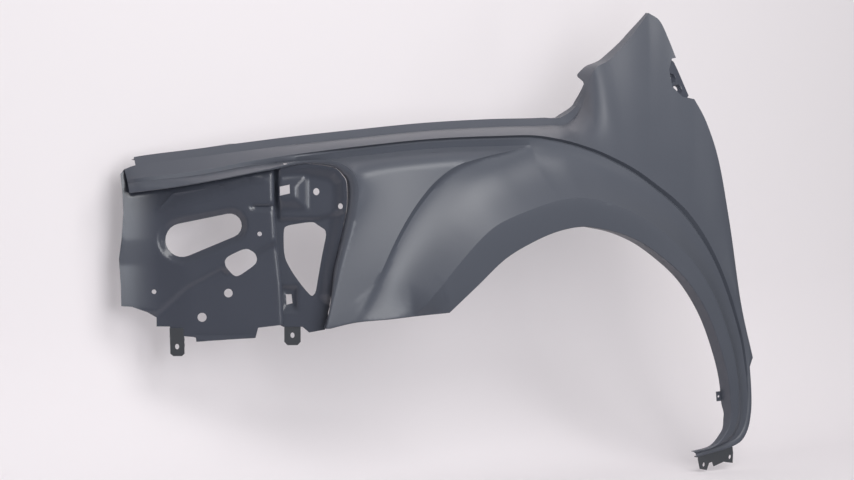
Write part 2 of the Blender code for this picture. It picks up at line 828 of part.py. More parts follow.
def upright(line, height):
    return lamp_run * straight(tuple(reversed(line)), height / fender_height)


# The upper edge of the wedge pressed over the long hole
def wedge_heights(along):
    low = above(wedge_low_line_shares, along, 0)
    high = above(wedge_high_line_shares, along, 0)
    return -low, max(0.5 * step_width - low, -high)


def front_out(along, height):
    out = -front_panel_depth
    strip = upright(strip_line_shares, height)
    out += strip_rise * ease((along - strip + strip_slope_width) / strip_slope_width)
    out -= step_drop * ease(0.5 - above(step_line_shares, along, height) / step_width)
    if wedge_high_line_shares[0][0] < along / lamp_run < wedge_high_line_shares[-1][0]:
        low, high = wedge_heights(along)
        out += wedge_rise * ease((height - low) / (high - low))
    if along < lip_reach_share * lamp_run:
        out += lip_rise * ease((lip_height_share * fender_height - height) / lip_rise)
    fade = ease((bead_reach_share * lamp_run - along) / step_width)
    bead = abs(height - bead_height_share * fender_height) / bead_half_width
    out -= bead_depth * fade * ease(1 - bead)
    hole = away(oblong_hole(), along, height, True)
    return out - rim_roll * ease(1 - hole / rim_roll_width)


# The front panel wraps round a bend at its rear side
def front_place(along, height):
    line = bend_x(height)
    over = line - along
    if over <= 0:
        return lamp_place(along, height, front_out(along, height))
    base = front_out(line, height)
    angle = min(math.pi / 2, over / bend_radius)
    rest = over - angle * bend_radius
    end = -front_panel_depth - bend_depth
    fall = bend_radius * (1 - math.cos(angle))
    spare = base - bend_radius - end
    return lamp_place(line - bend_radius * math.sin(angle), height,
                      base - fall - min(1, rest / bend_tail()) * spare)


def bend_x(height):
    return upright(bend_line_shares, height)


def bend_foot(height):
    return bend_x(height) - bend_radius - 2 * piece_gap


def bend_tail():
    return bend_depth - bend_radius


def bend_edge(height):
    return bend_x(height) - bend_radius * math.pi / 2 - bend_tail()


def build_front_panel():
    top = wall_outline(0, 5.5, 0.5)
    top = [point for point in top if point[0] > bend_edge(point[1]) + panel_step]
    last = top[-1]
    heights = [last[1] - bend_drop] + [fender_height * share for share in bend_height_shares]
    edge = [(bend_edge(height), height) for height in heights]
    bends = []
    for share in (0, 0.25, 0.5, 0.75, 1):
        turn = bend_radius * math.pi / 2 * share
        bends.append([(bend_x(height) - turn, height) for height in heights])
    outline = [flat(front_skin_corner_shares)] + top + edge + list(reversed(flat(front_outline_shares)))
    holes = [oblong_hole(), flat(quad_hole_shares)]
    for shares, radius in zip(front_hole_shares, front_hole_radii):
        holes.append(circle_hole(flat(shares), radius, radius))
    pressed_sheet("headlamp_front_panel", outline, holes, bends, front_place, panel_step,
                  panel_sheet, panel_paint, 40)


# How far a place lies outside an upright box
def beyond(centre, half, along, height):
    return max(abs(along - centre[0]) - half[0], abs(height - centre[1]) - half[1])


def rear_out(along, height):
    rim = away(rear_rim, along, height, False)
    rise = rear_rise * ease(1 - rim / rear_rise_width)
    boss = beyond(flat(boss_centre_shares), boss_half, along, height)
    rise += boss_rise * ease(0.5 - boss / soft_edge)
    rise += ledge_rise * ease(above(tuple(reversed(ledge_line_shares)), along, height) / ledge_slope)
    out = rise * ease((bend_foot(height) - along) / soft_edge) - rear_panel_depth
    dimple = beyond(flat(dimple_centre_shares), dimple_half, along, height)
    out -= dimple_drop * ease(0.5 - dimple / soft_edge)
    return out


def rear_place(along, height):
    return lamp_place(along, height, rear_out(along, height))


def build_rear_panel():
    shares = tuple(reversed(bend_height_shares)) + (rear_overlap_top_share,)
    heights = [fender_height * share for share in shares]
    left = [(bend_x(height) + rear_overlap, height) for height in heights]
    outline = rear_rim + flat(rear_outline_low_shares) + left
    holes = [flat(triangle_hole_shares), flat(square_hole_shares), flat(lower_slot_shares)]
    for shares, radius in zip(rear_hole_shares, rear_hole_radii):
        holes.append(circle_hole(flat(shares), radius, hole_stretch_share * radius))
    foot = [(bend_foot(height), height) for height in heights]
    pressed_sheet("headlamp_rear_panel", outline, holes, [foot], rear_place, panel_step,
                  panel_sheet, panel_paint, 40)


# The two slotted tabs behind the lower edge of the panels
def build_tab(name, outline_shares, slot_shares, panel_out):
    base = panel_out - panel_sheet - piece_gap

    def tab_place(along, height):
        return lamp_place(along, height, base)

    pressed_sheet(name, flat(outline_shares), [circle_hole(flat(slot_shares), *tab_slot_radii)], [],
                  tab_place, panel_step, bracket_sheet, bracket_paint, 40)


# The station where a line reaches a measure, with the measure falling as stations grow
def station_where(line, measure, goal, low, high):
    for turn in range(16):
        middle = (low + high) / 2
        if measure(line(middle)) > goal:
            low = middle
        else:
            high = middle
    return (low + high) / 2


# The foot bracket hangs under the folded lower end of the skin
def foot_edge(x):
    return upper_edge(station_where(upper_edge, lambda point: point.x, x, 37.2, 39))


def foot_x(share):
    return upper_edge(39).x + share * (upper_edge(38).x - upper_edge(39).x)


def foot_place(x, rise):
    edge = foot_edge(x)
    return Vector((x, edge.y + max(0, rise), edge.z - piece_gap + min(0, rise)))


def build_foot():
    first, last = foot_end_shares
    across = [foot_x(last + (first - last) * index / 8) for index in range(9)]
    outline = [(foot_x(share), -drop) for share, drop in zip(foot_shares, foot_drops)]
    outline += [(x, foot_flange_width) for x in across]
    holes = [circle_hole((foot_x(share), -foot_slot_drop), *foot_slot_radii) for share in foot_slot_shares]
    fold = [(x, 0) for x in across]
    pressed_sheet("rear_foot_bracket", outline, holes, [fold], foot_place, panel_step,
                  bracket_sheet, bracket_paint, 30)


# A place beside the door edge, from its distance in from the edge and its rise
def door_flat(point):
    inset, rise = point
    z = upper_edge(pocket_station).z + rise
    edge = upper_edge(station_where(upper_edge, lambda place: place.z, z, 21.2, 28.8))
    return edge.x - inset, z


# The skin's own surface beside the door edge
def band_depth(x, z):
    low = 21.5
    high = 28.5
    for turn in range(16):
        middle = (low + high) / 2
        top = upper_edge(middle)
        foot = crease(middle)
        share = (top.z - z) / (top.z - foot.z)
        if top.x + share * (foot.x - top.x) < x:
            low = middle
        else:
            high = middle
    return band_point(middle, share).y


def pocket_place(x, z):
    depth = band_depth(x, z) + pocket_lift_share * (skin_sheet + piece_gap)
    if inside(notch, x, z):
        depth += pocket_depth * ease(away(notch_inner, x, z, False) / pocket_slope)
    return Vector((x, depth, z))


def build_pocket():
    outline = [door_flat(point) for point in pocket_outline]
    holes = []
    for point, radius in zip(pocket_holes, pocket_hole_radii):
        holes.append(circle_hole(door_flat(point), radius, radius))
    pressed_sheet("hinge_pocket", outline, holes, [notch_inner], pocket_place, 0.5 * panel_step,
                  panel_sheet, panel_paint, 40)


notch = [door_flat(point) for point in notch_outline]
notch_inner = notch[:notch_inner_points]
rear_rim = [point for point in wall_outline(4.5, 11.5, 0.5) if point[0] < lamp_run * bend_line_shares[0][1]]
build_skin()
build_front_panel()
build_rear_panel()
build_tab("bumper_tab_front", front_tab_outline_shares, front_tab_slot_shares,
          -front_panel_depth - step_drop)
build_tab("bumper_tab_rear", rear_tab_outline_shares, rear_tab_slot_shares, -rear_panel_depth)
build_foot()
build_pocket()
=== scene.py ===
import bisect
import math

import bpy
import bmesh
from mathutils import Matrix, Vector
from mathutils.geometry import delaunay_2d_cdt
from mathutils.kdtree import KDTree


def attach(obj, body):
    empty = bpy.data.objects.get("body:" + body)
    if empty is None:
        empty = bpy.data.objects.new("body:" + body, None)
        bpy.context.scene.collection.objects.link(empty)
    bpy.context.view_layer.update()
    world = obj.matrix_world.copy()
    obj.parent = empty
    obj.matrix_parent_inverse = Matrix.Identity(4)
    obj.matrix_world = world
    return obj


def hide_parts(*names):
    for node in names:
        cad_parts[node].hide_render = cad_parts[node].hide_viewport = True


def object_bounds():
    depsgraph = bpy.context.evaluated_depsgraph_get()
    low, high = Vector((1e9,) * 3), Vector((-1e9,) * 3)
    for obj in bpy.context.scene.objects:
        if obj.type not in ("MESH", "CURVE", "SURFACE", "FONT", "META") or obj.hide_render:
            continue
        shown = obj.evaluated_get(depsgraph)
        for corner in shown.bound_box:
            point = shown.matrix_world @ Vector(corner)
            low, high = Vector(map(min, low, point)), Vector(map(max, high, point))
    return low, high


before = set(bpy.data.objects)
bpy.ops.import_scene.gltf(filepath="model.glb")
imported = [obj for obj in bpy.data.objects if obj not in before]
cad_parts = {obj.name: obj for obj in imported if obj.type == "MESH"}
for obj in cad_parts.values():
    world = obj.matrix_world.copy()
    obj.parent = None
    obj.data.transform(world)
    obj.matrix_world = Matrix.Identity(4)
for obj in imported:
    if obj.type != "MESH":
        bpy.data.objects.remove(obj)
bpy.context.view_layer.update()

# Overall sizes of the skin, in metres: x runs back from the front end, y inboard from the widest
# point of the flare, z up from the rear foot
fender = {
    "length": 1.334,
    "depth": 0.408,
    "height": 0.936,
    "skinSheet": 0.0009,
    "panelSheet": 0.0012,
    "bracketSheet": 0.0018,
    "pieceGap": 0.0003,
}

# Guide lines of the pressing as (station, shares of length, depth and height)
skin = {
    "lastStation": 39,
    # The upper edge: hood fold, spike, door edge, foot
    "upperEdgeShares": (
        (0, 0.003, 1.000, 0.672), (1, 0.019, 0.980, 0.680), (3, 0.109, 0.850, 0.697),
        (6, 0.247, 0.672, 0.721), (8, 0.338, 0.583, 0.733), (10, 0.444, 0.500, 0.745),
        (12, 0.556, 0.436, 0.751), (14, 0.658, 0.397, 0.752), (15, 0.696, 0.385, 0.755),
        (16, 0.721, 0.370, 0.793), (17, 0.730, 0.358, 0.842), (18, 0.744, 0.350, 0.877),
        (19, 0.776, 0.353, 0.898), (20, 0.823, 0.373, 0.947), (21, 0.869, 0.404, 1.000),
        (22, 0.883, 0.368, 0.982), (23, 0.889, 0.319, 0.939), (24, 0.893, 0.275, 0.896),
        (25, 0.900, 0.235, 0.849), (26, 0.910, 0.203, 0.809), (27, 0.924, 0.167, 0.763),
        (28, 0.937, 0.132, 0.698), (30, 0.956, 0.091, 0.537), (32, 0.978, 0.071, 0.343),
        (34, 1.000, 0.054, 0.217), (34.5, 0.992, 0.049, 0.197), (35, 0.992, 0.039, 0.158),
        (36, 0.991, 0.034, 0.094), (37, 0.983, 0.044, 0.044), (38, 0.961, 0.064, 0.018),
        (39, 0.892, 0.098, 0.000),
    ),
    "upperCornerStations": (21, 34, 34.5),
    # The long crease, which starts plain at the nose
    "plainNose": 3,
    "plainNoseRun": 5,
    "creaseShares": (
        (0, 0.002, 0.975, 0.650), (1, 0.013, 0.951, 0.654), (3, 0.098, 0.797, 0.670),
        (4, 0.144, 0.696, 0.683), (6, 0.225, 0.549, 0.703), (8, 0.316, 0.422, 0.719),
        (10, 0.413, 0.319, 0.731), (12, 0.521, 0.230, 0.735), (13, 0.575, 0.189, 0.735),
        (14, 0.615, 0.162, 0.727), (16, 0.677, 0.127, 0.704), (18, 0.722, 0.105, 0.679),
        (20, 0.762, 0.093, 0.652), (22, 0.801, 0.087, 0.619), (24, 0.838, 0.085, 0.586),
        (26, 0.871, 0.082, 0.548), (28, 0.908, 0.078, 0.487), (30, 0.942, 0.076, 0.409),
        (32, 0.968, 0.071, 0.321), (34, 0.985, 0.059, 0.226), (35, 0.987, 0.044, 0.165),
        (36, 0.986, 0.039, 0.103), (37, 0.978, 0.049, 0.053), (38, 0.956, 0.069, 0.027),
        (39, 0.890, 0.099, 0.006),
    ),
    # The lower edge: border over the lamp, lamp rim, sill of the lamp, wheel arch
    "lowerEdgeShares": (
        (0, 0.000, 0.941, 0.625), (2, 0.057, 0.804, 0.638), (4, 0.129, 0.642, 0.660),
        (5, 0.167, 0.569, 0.673), (6, 0.209, 0.490, 0.688), (7, 0.244, 0.395, 0.689),
        (8, 0.267, 0.338, 0.668), (9, 0.275, 0.319, 0.628), (10, 0.269, 0.326, 0.561),
        (11, 0.252, 0.350, 0.472), (12, 0.231, 0.380, 0.339), (13, 0.272, 0.322, 0.352),
        (14, 0.318, 0.255, 0.357), (15, 0.360, 0.196, 0.363), (16, 0.401, 0.135, 0.368),
        (17, 0.447, 0.103, 0.423), (18, 0.492, 0.076, 0.476), (19, 0.539, 0.056, 0.509),
        (20, 0.587, 0.042, 0.531), (21, 0.634, 0.032, 0.539), (22, 0.676, 0.025, 0.531),
        (24, 0.741, 0.015, 0.503), (26, 0.796, 0.010, 0.459), (28, 0.844, 0.005, 0.406),
        (30, 0.885, 0.005, 0.336), (32, 0.914, 0.005, 0.258), (34, 0.936, 0.007, 0.169),
        (35, 0.942, 0.012, 0.123), (36, 0.945, 0.020, 0.088), (37, 0.938, 0.032, 0.053),
        (38, 0.918, 0.059, 0.022), (39, 0.883, 0.090, 0.012),
    ),
    "lowerCornerStations": (12, 16),
    "archStation": 16,
    # The line where the flare begins, from the crease down to the sill
    "flareStartStation": 13,
    "flareLineShares": (
        (0.000, 0.574, 0.185, 0.711), (0.096, 0.519, 0.163, 0.700), (0.179, 0.477, 0.156, 0.690),
        (0.275, 0.432, 0.161, 0.674), (0.377, 0.396, 0.185, 0.642), (0.471, 0.370, 0.209, 0.605),
        (0.632, 0.334, 0.247, 0.532), (0.759, 0.312, 0.272, 0.470), (0.873, 0.294, 0.295, 0.414),
        (1.000, 0.272, 0.322, 0.352),
    ),
    # Lift of the flare's crown over the arch edge at each station
    "crownLift": 0.007,
    "crownLiftShares": (
        (13, 1.0), (22, 1.0), (24, 0.7), (26, 0.5), (28, 0.2), (32, 0.2), (34, 0.3), (36, 0.3),
        (38, 0.0), (39, 0.0),
    ),
    "crownPlaceShare": 0.64,
    "crownEdgePower": 1.3,
    "crownSwing": 0.7,
    "crownSwingPower": 2.4,
    "crownDegrees": (5, 135),  # where the crown's line starts round the wheel, and how far it runs
    "crownParts": 150,
    "wheelCentreShares": (0.634, 0.097),
    # Plan of the flat side in front of the flare
    "sideLowPlaceShare": 0.648,
    "sideLowShare": 0.0735,
    "sideBowShare": 1.758,
    # Groove under the crease, and the shelf under the groove
    "grooveWidth": 0.013,
    "grooveWidthShares": (
        (0, 0.31), (4, 0.31), (8, 0.54), (14, 0.62), (20, 0.77), (26, 1.0), (30, 0.69), (34, 0.46),
        (36, 0.20), (39, 0.10),
    ),
    "grooveDepth": 0.007,
    "grooveDepthShares": ((0, 0.0), (5, 0.0), (8, 1.0), (34, 1.0), (36, 0.15), (39, 0.05)),
    "grooveBottomShare": 0.5,
    "grooveRise": 0.0008,
    "grooveRiseShares": ((0, 0.05), (5, 0.1), (8, 1.0), (34, 1.0), (36, 0.1), (39, 0.02)),
    "shelfWall": 0.013,
    "shelfWallShares": (
        (0, 0.2), (4, 0.3), (7, 1.0), (13, 1.0), (14.5, 0.23), (34, 0.23), (36, 0.12), (39, 0.06),
    ),
    "shelfUndercut": 0.005,
    "shelfUndercutShares": ((0, 0.0), (4, 0.0), (7, 1.0), (12, 1.0), (14, 0.0), (39, 0.0)),
    "shoulderWidth": 0.042,
    "shoulderShare": 0.55,
    "barrelWidth": 0.24,  # the slow curve below the tight shoulder
    "shoulderPowerShare": 2.7,
    "bandCrown": 0.004,
    "bandCrownSlopeShare": 0.08,
    # Step at the start of the flare
    "flareStep": 0.007,
    "flareStepWidth": 0.013,
    "flareStepThin": 0.004,
    "flareStepDegrees": (109, 118),
    "flareMeetShare": 0.1,
    "flareStepShares": ((0, 0.0), (0.12, 0.3), (0.4, 1.0), (0.6, 1.0), (1.0, 0.0)),
    # How the face is drawn to its edges, with the flare's outer limit smoothed over some degrees
    "edgeReach": 0.09,
    "missParts": 6,
    "outerBlur": 7,
    "blurSteps": 12,
    "blurShare": 0.45,
    "archTail": 0.5,  # the arch runs on straight past its ends
    "archTailRows": 30,
    # Hood flange: gutter, ridge, bolt ledge, then the folded edge of spike and door
    "flangeWidth": 0.050,
    "gutterInShares": ((0, 0.06), (39, 0.06)),
    "ridgeInShares": (
        (0, 0.44), (14, 0.44), (15, 0.38), (16, 0.28), (17, 0.14), (17.5, 0.46), (18, 0.40),
        (19, 0.30), (20, 0.20), (21, 0.10), (24, 0.12), (30, 0.12), (36, 0.08), (39, 0.06),
    ),
    "ledgeInShares": (
        (0, 0.52), (14, 0.52), (15, 0.46), (16, 0.34), (17, 0.20), (17.5, 0.70), (18, 0.60),
        (19, 0.46), (20, 0.30), (21, 0.15), (24, 0.18), (30, 0.18), (36, 0.11), (39, 0.09),
    ),
    "flangeInShares": (
        (0, 1.0), (14, 1.0), (15, 0.90), (16, 0.60), (17, 0.28), (17.5, 0.92), (18, 0.80),
        (19, 0.60), (20, 0.40), (21, 0.20), (24, 0.24), (30, 0.24), (36, 0.15), (39, 0.12),
    ),
    "ridgeRise": 0.015,
    "gutterRiseShares": ((0, -0.2), (15, -0.2), (17, 0.0), (39, 0.0)),
    "ridgeRiseShares": ((0, 1.0), (14, 1.0), (15, 0.9), (16, 0.4), (17, 0.0), (39, 0.0)),
    "flangeStartStation": 1,
    "flangeRows": 4,
    "flangeTurnStation": 14,
    "flangeTurnRun": 2,
    "ledgeFadeStation": 16,
    "ledgeLastStation": 17,
    # Height of the bolt ledge, level at the three pads
    "ledgeHeightShares": (
        (0, 0.680), (1, 0.690), (4, 0.721), (5, 0.721), (9, 0.7525), (10, 0.7525), (13, 0.763),
        (14, 0.763), (15, 0.767), (16, 0.795), (17, 0.842),
    ),
    "padHoleStations": (4.3, 9.3, 13.3),
    "padHomeStation": 9.7,
    "padHoleRadius": 0.0045,
    # Return flange of the lower edge: square to the lamp up to the rim's corner, inboard after it
    "rimCornerStation": 11.8,
    "rimCornerRun": 0.4,
    "rimLastStation": 11.9,
    "lampFlangeDepth": 0.046,
    "returnLeast": 0.003,
    "returnWidth": 0.029,
    "returnWidthShares": (
        (11.9, 0.48), (16, 0.48), (19, 1.0), (35, 1.0), (36, 0.75), (37, 0.5), (39, 0.2),
    ),
    "turnRadius": 0.023,
    "turnRadiusShares": (
        (0, 0.09), (4, 0.09), (6, 0.26), (7, 0.52), (8, 0.87), (9, 1.0), (10, 0.87), (11, 0.61),
        (11.8, 0.17), (12, 0.09), (39, 0.09),
    ),
    # Liner ear on the arch flange
    "earStations": (34.5, 35.0),
    "earLength": 0.012,
    "earHoleRadius": 0.0025,
    # Steps of the tables and the skin grid, with clearances as parts of a step
    "tableRows": 20,
    "flareRows": 100,
    "columnsPerStation": 8,
    "bandSteps": 12,
    "turnSteps": 7,
    "faceStep": 0.005,
    "faceRowShare": 0.87,
    "ridgeClear": 0.6,
    "borderClear": 0.7,
    "archClearShares": (0.3, 0.98),  # nothing is laid nearer to the wheel's middle
    "flareLineRows": (3, -2),
    "stepLineRows": (8, -3),
    "smoothDegrees": 32,
}

# Plane of the headlamp panels: it runs from the rim's lower corner to the front end
lamp = {
    "rearShares": (0.2324, 0.3848),
    "frontShares": (0.0, 0.9784),
    "datumShare": 0.1207,
}
lampStepBack = fender["length"] * (lamp["rearShares"][0] - lamp["frontShares"][0])
lampStepIn = fender["depth"] * (lamp["frontShares"][1] - lamp["rearShares"][1])
lampAngle = math.atan2(lampStepIn, lampStepBack)
lampRun = math.hypot(lampStepIn, lampStepBack)
lampPoint = Vector((fender["length"] * lamp["rearShares"][0], fender["depth"] * lamp["rearShares"][1],
                    fender["height"] * lamp["datumShare"]))
lampOut = Vector((-math.sin(lampAngle), -math.cos(lampAngle), 0))
lampAlong = Vector((-math.cos(lampAngle), math.sin(lampAngle), 0))
up = Vector((0, 0, 1))
inboard = Vector((0, 1, 0))


# Plain number helpers
def ease(value):
    value = min(1, max(0, value))
    return value * value * (3 - 2 * value)


def eased(table, place):
    if place <= table[0][0]:
        return table[0][1]
    for left, right in zip(table, table[1:]):
        if place <= right[0]:
            return left[1] + (right[1] - left[1]) * ease((place - left[0]) / (right[0] - left[0]))
    return table[-1][1]


def straight(table, place):
    if place <= table[0][0]:
        return table[0][1]
    for left, right in zip(table, table[1:]):
        if place <= right[0]:
            return left[1] + (right[1] - left[1]) * (place - left[0]) / (right[0] - left[0])
    return table[-1][1]


# A smooth line through the rows of a table, broken at its corners
def onLine(table, corners, place):
    place = min(table[-1][0], max(table[0][0], place))
    index = 0
    while index < len(table) - 2 and table[index + 1][0] <= place:
        index += 1
    left = table[index]
    right = table[index + 1]
    span = right[0] - left[0]
    share = (place - left[0]) / span
    rise = [(b - a) / span for a, b in zip(left[1:], right[1:])]
    slopes = []
    for row, near in ((index, index - 1), (index + 1, index + 1)):
        if row in (0, len(table) - 1) or table[row][0] in corners:
            slopes.append(rise)
            continue
        before = table[near]
        after = table[near + 1]
        otherSpan = after[0] - before[0]
        other = [(b - a) / otherSpan for a, b in zip(before[1:], after[1:])]
        slopes.append([(a * otherSpan + b * span) / (span + otherSpan) for a, b in zip(rise, other)])
    square = share * share
    cube = square * share
    values = []
    for a, b, slopeA, slopeB in zip(left[1:], right[1:], slopes[0], slopes[1]):
        values.append((2 * cube - 3 * square + 1) * a + (3 * square - 2 * cube) * b
                      + span * ((cube - 2 * square + share) * slopeA + (cube - square) * slopeB))
    return Vector((values[0] * fender["length"], values[1] * fender["depth"],
                   values[2] * fender["height"]))


def upperEdge(station):
    return onLine(skin["upperEdgeShares"], skin["upperCornerStations"], station)


# The nose is plain, and the crease grows behind it
def creaseShare(station):
    return ease((station - skin["plainNose"]) / skin["plainNoseRun"])


def crease(station):
    point = onLine(skin["creaseShares"], (), station)
    top = upperEdge(station)
    end = lowerEdge(station)
    plain = top.y + (end.y - top.y) * (top.z - point.z) / (top.z - end.z)
    point.y += (plain - point.y) * (1 - creaseShare(station))
    return point


def lowerEdge(station):
    return onLine(skin["lowerEdgeShares"], skin["lowerCornerStations"], station)


def tangent(line, station):
    reach = 0.05
    last = skin["lastStation"]
    return (line(min(last, station + reach)) - line(max(0, station - reach))).normalized()


# The band from the upper edge down to the crease
def bandPoint(station, share):
    top = upperEdge(station)
    foot = crease(station)
    out = (foot - top).cross(tangent(crease, station)).normalized()
    height = min(skin["bandCrown"], (foot - top).length * skin["bandCrownSlopeShare"])
    height *= creaseShare(station)
    return top.lerp(foot, share) + out * height * 4 * share * (1 - share)


# The groove below the crease and the wall under it
def groovePoints(station):
    top = crease(station)
    along = tangent(crease, station)
    across = Vector((along.z, 0, -along.x)).normalized()
    width = skin["grooveWidth"] * eased(skin["grooveWidthShares"], station)
    depth = skin["grooveDepth"] * eased(skin["grooveDepthShares"], station)
    rise = skin["grooveRise"] * eased(skin["grooveRiseShares"], station)
    bottom = top + across * width * skin["grooveBottomShare"] + inboard * depth
    edge = top + across * width + inboard * rise
    foot = (edge + across * skin["shelfWall"] * eased(skin["shelfWallShares"], station)
            + inboard * skin["shelfUndercut"] * eased(skin["shelfUndercutShares"], station))
    return bottom, edge, foot


def wallFoot(station):
    return groovePoints(station)[2]


# Tables with many rows are read by their first column
def readTable(table, place):
    index = min(len(table) - 1, max(1, bisect.bisect_left(table, (place,))))
    left = table[index - 1]
    right = table[index]
    share = min(1, max(0, (place - left[0]) / (right[0] - left[0])))
    return [a + (b - a) * share for a, b in zip(left[1:], right[1:])]


footTable = []
for index in range(skin["archStation"] * skin["tableRows"] + 1):
    under = wallFoot(index / skin["tableRows"])
    footTable.append((under.x, under.y, under.z))
footTable.sort()


# The flat side with its rounded shoulder under the shelf
def sideDepth(x, z):
    place = x / fender["length"]
    bow = skin["sideBowShare"] * (skin["sideLowPlaceShare"] - place) ** 2
    flat = fender["depth"] * (skin["sideLowShare"] + bow)
    footDepth, footHeight = readTable(footTable, x)
    drop = max(0, footHeight - z)
    tight = max(0, 1 - drop / skin["shoulderWidth"]) ** skin["shoulderPowerShare"]
    shoulder = skin["shoulderShare"] * tight
    shoulder += (1 - skin["shoulderShare"]) * max(0, 1 - drop / skin["barrelWidth"]) ** 2
    return flat + (footDepth - flat) * shoulder


wheelCentre = (skin["wheelCentreShares"][0] * fender["length"],
               skin["wheelCentreShares"][1] * fender["height"])


# Direction and distance of a place from the middle of the wheel
def wheelPlace(x, z):
    ahead = x - wheelCentre[0]
    rise = z - wheelCentre[1]
    return math.atan2(rise, ahead), math.hypot(ahead, rise)


# The place at a direction and distance from the middle of the wheel
def wheelSpot(direction, distance):
    return (wheelCentre[0] + distance * math.cos(direction),
            wheelCentre[1] + distance * math.sin(direction))


# The outer limit of the flare, the arch and the flare's crown, each as direction, distance and depth
flareLine = []
outerTable = []
meet = wallFoot(skin["flareStartStation"]) - onLine(skin["flareLineShares"], (), 0)
for index in range(skin["flareRows"] + 1):
    share = index / skin["flareRows"]
    point = onLine(skin["flareLineShares"], (), share) + meet * ease(1 - share / skin["flareMeetShare"])
    flareLine.append((point.x, point.z))
    drop = skin["flareStep"] * eased(skin["flareStepShares"], share)
    outerTable.append((*wheelPlace(point.x, point.z), sideDepth(point.x, point.z), drop))
for index in range(1, (skin["lastStation"] - skin["flareStartStation"]) * skin["tableRows"] + 1):
    point = wallFoot(skin["flareStartStation"] + index / skin["tableRows"])
    outerTable.append((*wheelPlace(point.x, point.z), point.y, 0))
outerTable.sort()
softTable = []
for row in outerTable:
    total = 0
    weights = 0
    blur = skin["blurSteps"]
    for reach in range(-2 * blur, 2 * blur + 1):
        near = readTable(outerTable, row[0] + math.radians(skin["outerBlur"]) * reach / blur)[1]
        weight = math.exp(-(reach / blur) ** 2)
        total += weight * near
        weights += weight
    softTable.append((*row, total / weights))
outerTable = softTable
flareTop = wheelPlace(*flareLine[0])[0]
flareFoot = wheelPlace(*flareLine[-1])[0]
archTable = []
for index in range((skin["lastStation"] - skin["archStation"]) * skin["tableRows"] + 1):
    station = skin["archStation"] + index / skin["tableRows"]
    point = lowerEdge(station)
    lift = skin["crownLift"] * straight(skin["crownLiftShares"], station)
    archTable.append((*wheelPlace(point.x, point.z), point.y, lift))
archTable.sort()
lastArch = archTable[-1]
nearArch = archTable[-skin["archTailRows"]]
archSlope = (lastArch[2] - nearArch[2]) / (lastArch[0] - nearArch[0])
archTable.append((lastArch[0] + skin["archTail"], lastArch[1],
                  lastArch[2] + skin["archTail"] * archSlope, lastArch[3]))


# Depth of the face below the crease, before it is drawn to its edges
def faceDepth(x, z):
    direction, distance = wheelPlace(x, z)
    outer, outerDepth, drop, softDepth = readTable(outerTable, direction)
    if direction > flareFoot or (direction > flareTop and distance >= outer):
        return sideDepth(x, z)
    arch, archDepth, lift = readTable(archTable, direction)
    share = max(0, (outer - distance) / (outer - arch))
    crownShare = skin["crownPlaceShare"]
    crown = archDepth - lift
    start = softDepth + (outerDepth - softDepth) * max(0, 1 - share / skin["blurShare"]) ** 2
    start += drop * min(1, max(0, (outer - distance) / stepWidth(direction)))
    if share < crownShare:
        swing = share / crownShare
        rise = skin["crownSwing"] * swing ** skin["crownSwingPower"]
        rise += (1 - skin["crownSwing"]) * ease(swing)
        return start + (crown - start) * rise
    return crown + lift * ((share - crownShare) / (1 - crownShare)) ** skin["crownEdgePower"]


# The step under the flare line is wide in front and runs out to a thin one at the shelf
def stepWidth(direction):
    first, last = skin["flareStepDegrees"]
    wide = ease((math.degrees(direction) - first) / (last - first))
    return skin["flareStepThin"] + (skin["flareStepWidth"] - skin["flareStepThin"]) * wide


def crownPlace(direction):
    outer = readTable(outerTable, direction)[0]
    arch = readTable(archTable, direction)[0]
    return wheelSpot(direction, outer + (arch - outer) * skin["crownPlaceShare"])


# The return flange: a round turn off the lower edge, then a straight wall
def turnFrame(station):
    lampShare = 1 - ease((station - skin["rimCornerStation"]) / skin["rimCornerRun"])
    inward = (-lampOut * lampShare + inboard * (1 - lampShare)).normalized()
    out = inward.cross(tangent(lowerEdge, station)).normalized()
    return lowerEdge(station), out, inward


def turnPoints(station):
    edge, out, inward = turnFrame(station)
    radius = skin["turnRadius"] * eased(skin["turnRadiusShares"], station)
    points = []
    for step in range(1, skin["turnSteps"] + 1):
        angle = math.pi / 2 * step / skin["turnSteps"]
        points.append(edge + out * radius * math.sin(angle) + inward * radius * (1 - math.cos(angle)))
    last = points[-1]
    if station < skin["rimLastStation"]:
        width = max(skin["returnLeast"], (last - lampPoint).dot(lampOut) + skin["lampFlangeDepth"])
    else:
        width = skin["returnWidth"] * eased(skin["returnWidthShares"], station)
    points.append(last + inward * width)
    return points


# The hood flange and the folded edge above the upper edge, from its free edge outwards
def flangePoints(station):
    edge = upperEdge(station)
    along = tangent(upperEdge, station)
    plan = Vector((-along.y, along.x, 0))
    turn = ease((station - skin["flangeTurnStation"]) / skin["flangeTurnRun"])
    inward = (plan.normalized() * (1 - turn) + inboard * turn).normalized()
    points = []
    for shares in ("flangeInShares", "ledgeInShares", "ridgeInShares", "gutterInShares"):
        points.append(edge + inward * skin["flangeWidth"] * eased(skin[shares], station))
    points[2] += up * skin["ridgeRise"] * eased(skin["ridgeRiseShares"], station)
    points[3] += up * skin["ridgeRise"] * eased(skin["gutterRiseShares"], station)
    if station <= skin["ledgeLastStation"]:
        ledge = fender["height"] * straight(skin["ledgeHeightShares"], station)
        level = 1 - ease(station - skin["ledgeFadeStation"])
        for point in points[:2]:
            point.z += (ledge - point.z) * level
    return points


def padPoint(station):
    points = flangePoints(station)
    return (points[0] + points[1]) / 2


# The part's own frame sits on the middle bolt pad
home = padPoint(skin["padHomeStation"])


